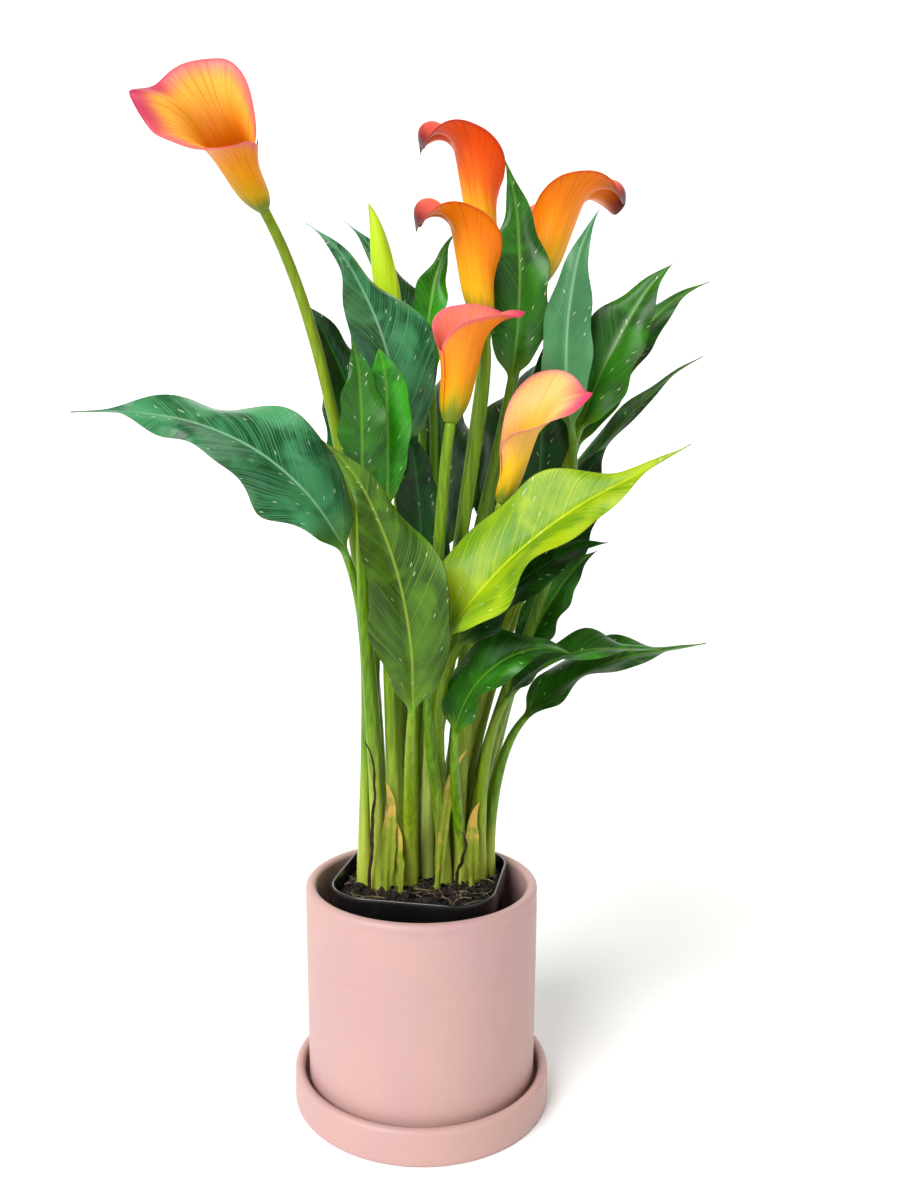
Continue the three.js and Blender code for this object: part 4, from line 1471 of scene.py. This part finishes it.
@dataclass(frozen=True)
class Crockery:
    """A turned vessel: a flat base, a straight outer wall, a round lip and a flat floor."""

    node: str
    wall: float
    floor: float
    edge: float
    taper: float = 0.0
    seam: float | None = None
    relief: float = 0.0

    COUNT = 144
    WALL_STEPS = 70
    INNER_EDGE = 3
    LIP_DROP = 6.5
    SEAM_DEPTH = 0.12

    def profile(self) -> list[tuple[float, float, float]]:
        """Walks along the vessel's profile, from the axis under its base to the axis above it.

        Returns:
            Radius, height and seam mark of each point.
        """
        low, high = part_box(self.node)
        outer = (high.x - low.x) / 2 / MM
        base, top = low.z / MM, high.z / MM
        lip = self.wall / 2
        points = [(0.01, base), (outer * 0.5, base)]
        points += rounded((outer - self.taper - self.edge, base + self.edge), self.edge, -90, 0)
        for i in range(1, self.WALL_STEPS):
            share = i / self.WALL_STEPS
            height = lerp(base + self.edge, top - lip, share)
            points.append((outer - self.taper * (1 - share), height))
        points += rounded((outer - lip, top - lip), lip, 0, 180, 14)
        inner = outer - self.wall
        foot = base + self.floor + self.INNER_EDGE
        points += [(inner, lerp(top - lip, foot, i / 6)) for i in range(1, 7)]
        points += rounded((inner - self.INNER_EDGE, foot), self.INNER_EDGE, 0, -90, 5)
        points += [(inner * 0.5, base + self.floor), (0.01, base + self.floor)]
        marked = []
        for radius, height in points:
            outside = radius > inner + 1
            seam = bell(height - self.seam, 0.7) if self.seam and outside else 0.0
            hollow = self.relief * bell(height - (top - self.LIP_DROP), 2.2) if outside else 0.0
            marked.append((radius - self.SEAM_DEPTH * seam - hollow, height, seam))
        return marked

    def build(self) -> None:
        """Builds the vessel by turning its profile."""
        skin = Skin()
        rings = []
        for radius, height, seam in self.profile():
            ring = []
            for angle, across, up in circle(self.COUNT):
                fade = 0.5 + 0.5 * noise.noise(Vector((2 * across, 2 * up, 4)))
                where = Vector((radius * across, radius * up, height))
                ring.append(skin.point(where, (angle, height, seam * fade), (0.5, 0, 0)))
            rings.append(ring)
        skin.loft(rings)
        skin.piece(f"{self.node}_fine", CERAMIC, self.node)


LEAVES = [
    Leaf("leaf_far_left", (-33, 0), (-40, -18, 188), 186, 68, 82, 42, 170, 28, Leaves.GLOSSY,
         peak=0.34, taper=1.7, wave=6, waves=2.3, phase=0.6, twist=16, curl=-10, fold=10),
    Leaf("leaf_front_left", (-8, -6), (-5, -44, 108), 184, 94, 40, 75, 152, 23, Leaves.OLIVE,
         wave=5, waves=1.8, phase=1.2, taper=1.5, fold=24),
    Leaf("leaf_lime", (12, -6), (12, -34, 146), -6, 58, 42, -42, 160, 32, Leaves.LIME,
         fold=22, wave=5.5, waves=2.1, phase=0.4, curl=-14, taper=1.6, peak=0.3),
    Leaf("leaf_under_lime", (14, 2), (20, -22, 140), -16, 56, 36, -50, 98, 19, Leaves.DARK, wave=3.4),
    Leaf("leaf_front_centre", (22, -6), (18, -24, 92), -20, 84, 88, -45, 88, 21, wave=3.4),
    Leaf("leaf_low_front", (33, -5), (46, -14, 110), -20, 56, 76, -20, 92, 17, wave=3, curl=-24),
    Leaf("leaf_low_right", (40, 2), (57, 6, 94), -10, 50, 54, -25, 112, 19, fold=20, wave=3.6, curl=-16,
         taper=1.7),
    Leaf("leaf_right_mid", (38, 10.5), (58, 18, 128), 6, 70, 26, -55, 76, 13),
    Leaf("leaf_right_back", (37, 19), (74, 46, 168), 30, 72, 18, -40, 96, 20, Leaves.DARK),
    Leaf("leaf_right_narrow", (26, 28), (84, 80, 214), -6, 56, 16, -35, 128, 10, wave=1.4),
    Leaf("leaf_upright_right", (31, 5), (82, 4, 256), 0, 100, 30, 100, 122, 15, Leaves.PALE, wave=2,
         taper=1.5, fold=22),
    Leaf("leaf_right_tall", (21, 13), (88, 18, 256), 0, 72, 18, -60, 106, 21),
    Leaf("leaf_right_far", (29, 20.5), (90, 40, 248), 6, 72, 38, -50, 128, 17, taper=1.5),
    Leaf("leaf_centre_tall", (8, 20), (50, 20, 284), 14, 80, -22, -65, 124, 18, curl=-10, taper=1.6,
         wave=3.4),
    Leaf("leaf_centre_narrow", (-2, 23), (5, 34, 286), 16, 98, 34, -60, 90, 11, Leaves.BRIGHT, taper=1.6),
    Leaf("leaf_big_glossy", (-14, 2), (-12, -4, 243), 184, 92, 45, 58, 138, 26, Leaves.GLOSSY,
         wave=6, waves=1.6, phase=2.0, taper=2.2, peak=0.34, sway=-20, fold=10),
    Leaf("leaf_behind_bud", (-10, 19), (0, 44, 270), 165, 86, 34, 55, 124, 16, Leaves.BLUE, taper=1.8),
    Leaf("leaf_left_dark", (-28, 18), (-30, 26, 238), 170, 80, 24, 60, 104, 16, Leaves.DARK, wave=3),
    Leaf("leaf_left_oval", (-26, -6), (-31, -32, 226), 180, 93, 10, 80, 74, 13, wave=2, fold=20),
    Leaf("leaf_left_bright", (-17, -6), (-18, -22, 214), 180, 92, 6, 85, 82, 13, Leaves.BRIGHT, peak=0.6,
         taper=0.9, fold=20, wave=1.4),
    Leaf("leaf_centre_dark", (-5, 4), (-1, 0, 160), 180, 94, 16, 80, 104, 16, Leaves.DARK, wave=3),
    Leaf("leaf_left_back", (-18, 27), (-36, 56, 210), 130, 84, 38, 20, 108, 17, Leaves.BLUE),
    Leaf("leaf_back_centre", (4, 30), (12, 62, 185), 88, 80, 38, 0, 140, 23, Leaves.DARK, wave=4),
    Leaf("leaf_back_right", (19, 30), (46, 66, 195), 62, 78, 32, -10, 134, 23, Leaves.DARK, wave=4),
    Leaf("leaf_right_dark", (29.5, 12.5), (68, 28, 186), 40, 92, 10, -40, 134, 17, Leaves.DARK, wave=3),
]

YELLOW_PETAL = SpatheFinish("petal_yellow", "spathe_yellow", tones("c99a00 e69400 e68620"),
                            tones("dc7a00 e48400 eeaa3c"), *tones("d85468 b02a4a"), 0.84)
ORANGE_PETAL = SpatheFinish("petal_orange", "spathe_orange", tones("dca814 ee6a00 e65000"),
                            tones("e68000 e65400 dc4a38"), *tones("c03420 340610"), 0.94)
AMBER_PETAL = SpatheFinish("petal_amber", "spathe_orange", tones("d8a400 f09000 ee7c00"),
                           tones("e68c00 ee7400 e25848"), *tones("d44c10 440814"), 0.95)
ROSE_PETAL = SpatheFinish("petal_rose", "spathe_orange", tones("b49200 e68a00 e8841c"),
                          tones("dc8400 e68600 e67060"), *tones("de6074 c8325a"), 0.91)
PEACH_PETAL = SpatheFinish("petal_peach", "spathe_peach", tones("c4a000 e8b414 eeb058"),
                           tones("e0a000 eaa81c f0b468"), *tones("e88c80 d84062"), 0.91)

FLOWERS = [
    Flower("flower_left", (-23, 10), (-81, -20, 366), 248, 36, 165, 74, 0.8, 5, 0.44, 46, 14, 11,
           YELLOW_PETAL, stem_way=(192, 62), arch=0.22, curl=6, flute=1.4, lean=0.08, sweep=0.4),
    Flower("flower_top", (11, 28), (38, 46, 362), 176, 84, 184, 86, 0.6, 4, 0.48, 40, 116, 14,
           ORANGE_PETAL, curl=36, lean=0.08),
    Flower("flower_middle", (3, 11), (34, 7, 312), 180, 84, 184, 80, 0.6, 4, 0.48, 40, 116, 14,
           AMBER_PETAL, curl=30, lean=0.08),
    Flower("flower_right", (21, 22), (66, 46, 340), 20, 74, 2, 84, 0.62, 5, 0.44, 40, 98, 15,
           AMBER_PETAL, curl=30, lean=-0.06),
    Flower("flower_front", (4, 3), (15, -26, 257), 10, 82, 16, 70, 0.74, 5, 0.46, 30, 46, 7,
           ROSE_PETAL, curl=10, lean=-0.12),
    Flower("flower_low", (22, 3), (43, -12, 216), -50, 68, -8, 70, 0.66, 2, 0.38, 34, 34, 8,
           PEACH_PETAL, curl=6, cone=16, sweep=0.45, lean=-0.22),
]

SHEATHS = [
    Sheath("sheath_left", (-23, -14), 200, 92, -4, -70, 64, 4.5),
    Sheath("sheath_middle", (-15, -16), 150, 90, 4, -80, 44, 4),
    Sheath("sheath_front", (6, -14), 0, 88, 12, 80, 84, 3.6),
    Sheath("sheath_right", (26, -14), 0, 92, 6, 80, 50, 4.5),
]

STRANDS = [
    Strand("dry_strand_left", (-32, -11), (-30, -22, 88), 150, 60),
    Strand("dry_strand_right", (17, -15), (22, -26, 40), 140, 50),
]

CROCKERY = [
    Crockery("cover_pot", 6.0, 6.0, 2.4, taper=1.4, seam=87.0, relief=0.35),
    Crockery("saucer", 5.5, 6.0, 2.0),
]


@dataclass(frozen=True)
class Studio:
    """The pale floor that sweeps up behind, the soft lights and the camera."""

    eye: tuple[float, float, float] = (0.0, -0.549, 0.3336)
    pitch: float = 5.33
    lens: float = 30.0
    shift: float = 0.02375
    surround: float = 0.2
    aim: tuple[float, float, float] = (0.0, 0.0, 0.28)
    key: float = 3.9
    key_angle: float = 38.0
    key_way: tuple[float, float, float] = (0.5, 0.62, -0.62)

    def camera(self) -> None:
        """Places the camera."""
        data = bpy.data.cameras.new("camera")
        data.lens = self.lens
        data.sensor_width = 36.0
        data.shift_x = self.shift
        data.clip_start = 0.01
        eye = put_in_scene("camera", data)
        eye.location = self.eye
        eye.rotation_euler = (math.radians(90 - self.pitch), 0, 0)
        bpy.context.scene.camera = eye

    def light(self, name: str, place: Sequence[float], size: float, power: float) -> None:
        """Hangs a soft square light that looks at the middle of the plant.

        Args:
            name: The light's name.
            place: Where it hangs, in metres.
            size: Its side, in metres.
            power: Its power, in watts.
        """
        data = bpy.data.lights.new(name, "AREA")
        data.size = size
        data.energy = power
        lamp = put_in_scene(name, data)
        lamp.location = place
        aim = Vector(self.aim) - Vector(place)
        lamp.rotation_euler = aim.to_track_quat("-Z", "Y").to_euler()

    def floor(self) -> None:
        """Lays the floor."""
        mesh = bpy.data.meshes.new("floor")
        near, far, side, radius = -12.0, 5.0, 14.0, 2.0
        profile = [(near, 0.0), (far, 0.0)]
        for i in range(1, 17):
            angle = math.radians(90 * i / 16)
            profile.append((far + radius * math.sin(angle), radius * (1 - math.cos(angle))))
        profile.append((far + radius, 8.0))
        points = [(x, y, z) for y, z in profile for x in (-side, side)]
        faces = [(2 * i, 2 * i + 1, 2 * i + 3, 2 * i + 2) for i in range(len(profile) - 1)]
        mesh.from_pydata(points, [], faces)
        mesh.shade_smooth()
        paper = Shading("backdrop_paper")
        cloud = paper.noise(paper.object_place(), 3.0)
        colour = paper.mix(cloud, tone("f4f4f2"), tone("f8f8f7"))
        mesh.materials.append(paper.finish(colour, paper.step(cloud, 0.0, 1.0, 0.85, 0.95)))
        put_in_scene("floor", mesh)

    def world(self) -> None:
        """Fills the room with pale light that is white low down and dimmer overhead."""
        world = bpy.data.worlds.new("room")
        world.use_nodes = True
        tree = world.node_tree
        direction = tree.nodes.new("ShaderNodeTexCoord").outputs["Generated"]
        parts = tree.nodes.new("ShaderNodeSeparateXYZ")
        fade = tree.nodes.new("ShaderNodeMapRange")
        for number, value in enumerate((0.08, 0.45, 1.0, self.surround), start=1):
            fade.inputs[number].default_value = value
        sky = tree.nodes["Background"]
        sky.inputs["Color"].default_value = (1.0, 1.0, 1.0, 1.0)
        tree.links.new(direction, parts.inputs[0])
        tree.links.new(parts.outputs["Z"], fade.inputs[0])
        tree.links.new(fade.outputs[0], sky.inputs["Strength"])
        bpy.context.scene.world = world

    def sun(self) -> None:
        """Sets the broad key light, which comes from the upper left in front of the plant."""
        data = bpy.data.lights.new("key_light", "SUN")
        data.energy = self.key
        data.angle = math.radians(self.key_angle)
        lamp = put_in_scene("key_light", data)
        lamp.rotation_euler = Vector(self.key_way).to_track_quat("-Z", "Y").to_euler()

    def build(self) -> None:
        """Sets up the whole stage."""
        bpy.context.scene.view_settings.view_transform = "Standard"
        self.camera()
        self.floor()
        self.world()
        self.sun()
        self.light("fill_light", (1.4, -0.9, 0.9), 1.2, 4.0)
        self.light("top_light", (0.2, 0.7, 1.7), 1.4, 8.0)


def dress_tubers() -> None:
    """Gives the buried tubers their rough brown skin."""
    for name in ("tuber_1", "tuber_2"):
        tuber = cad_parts[name]
        tuber.data.materials.clear()
        tuber.data.materials.append(TUBER_SKIN.material())
        log.info("%s: dressed in %s", name, TUBER_SKIN.name)


def main() -> None:
    """Builds the stage and every piece of the plant and its pots."""
    logging.basicConfig(level=logging.INFO, format="%(name)s %(message)s")
    Studio().build()
    plant = [*LEAVES, *FLOWERS, Bud(), *SHEATHS, *STRANDS]
    for piece in [*CROCKERY, NurseryPot(), Soil(), *plant]:
        piece.build()
    dress_tubers()


if __name__ == "__main__":
    main()
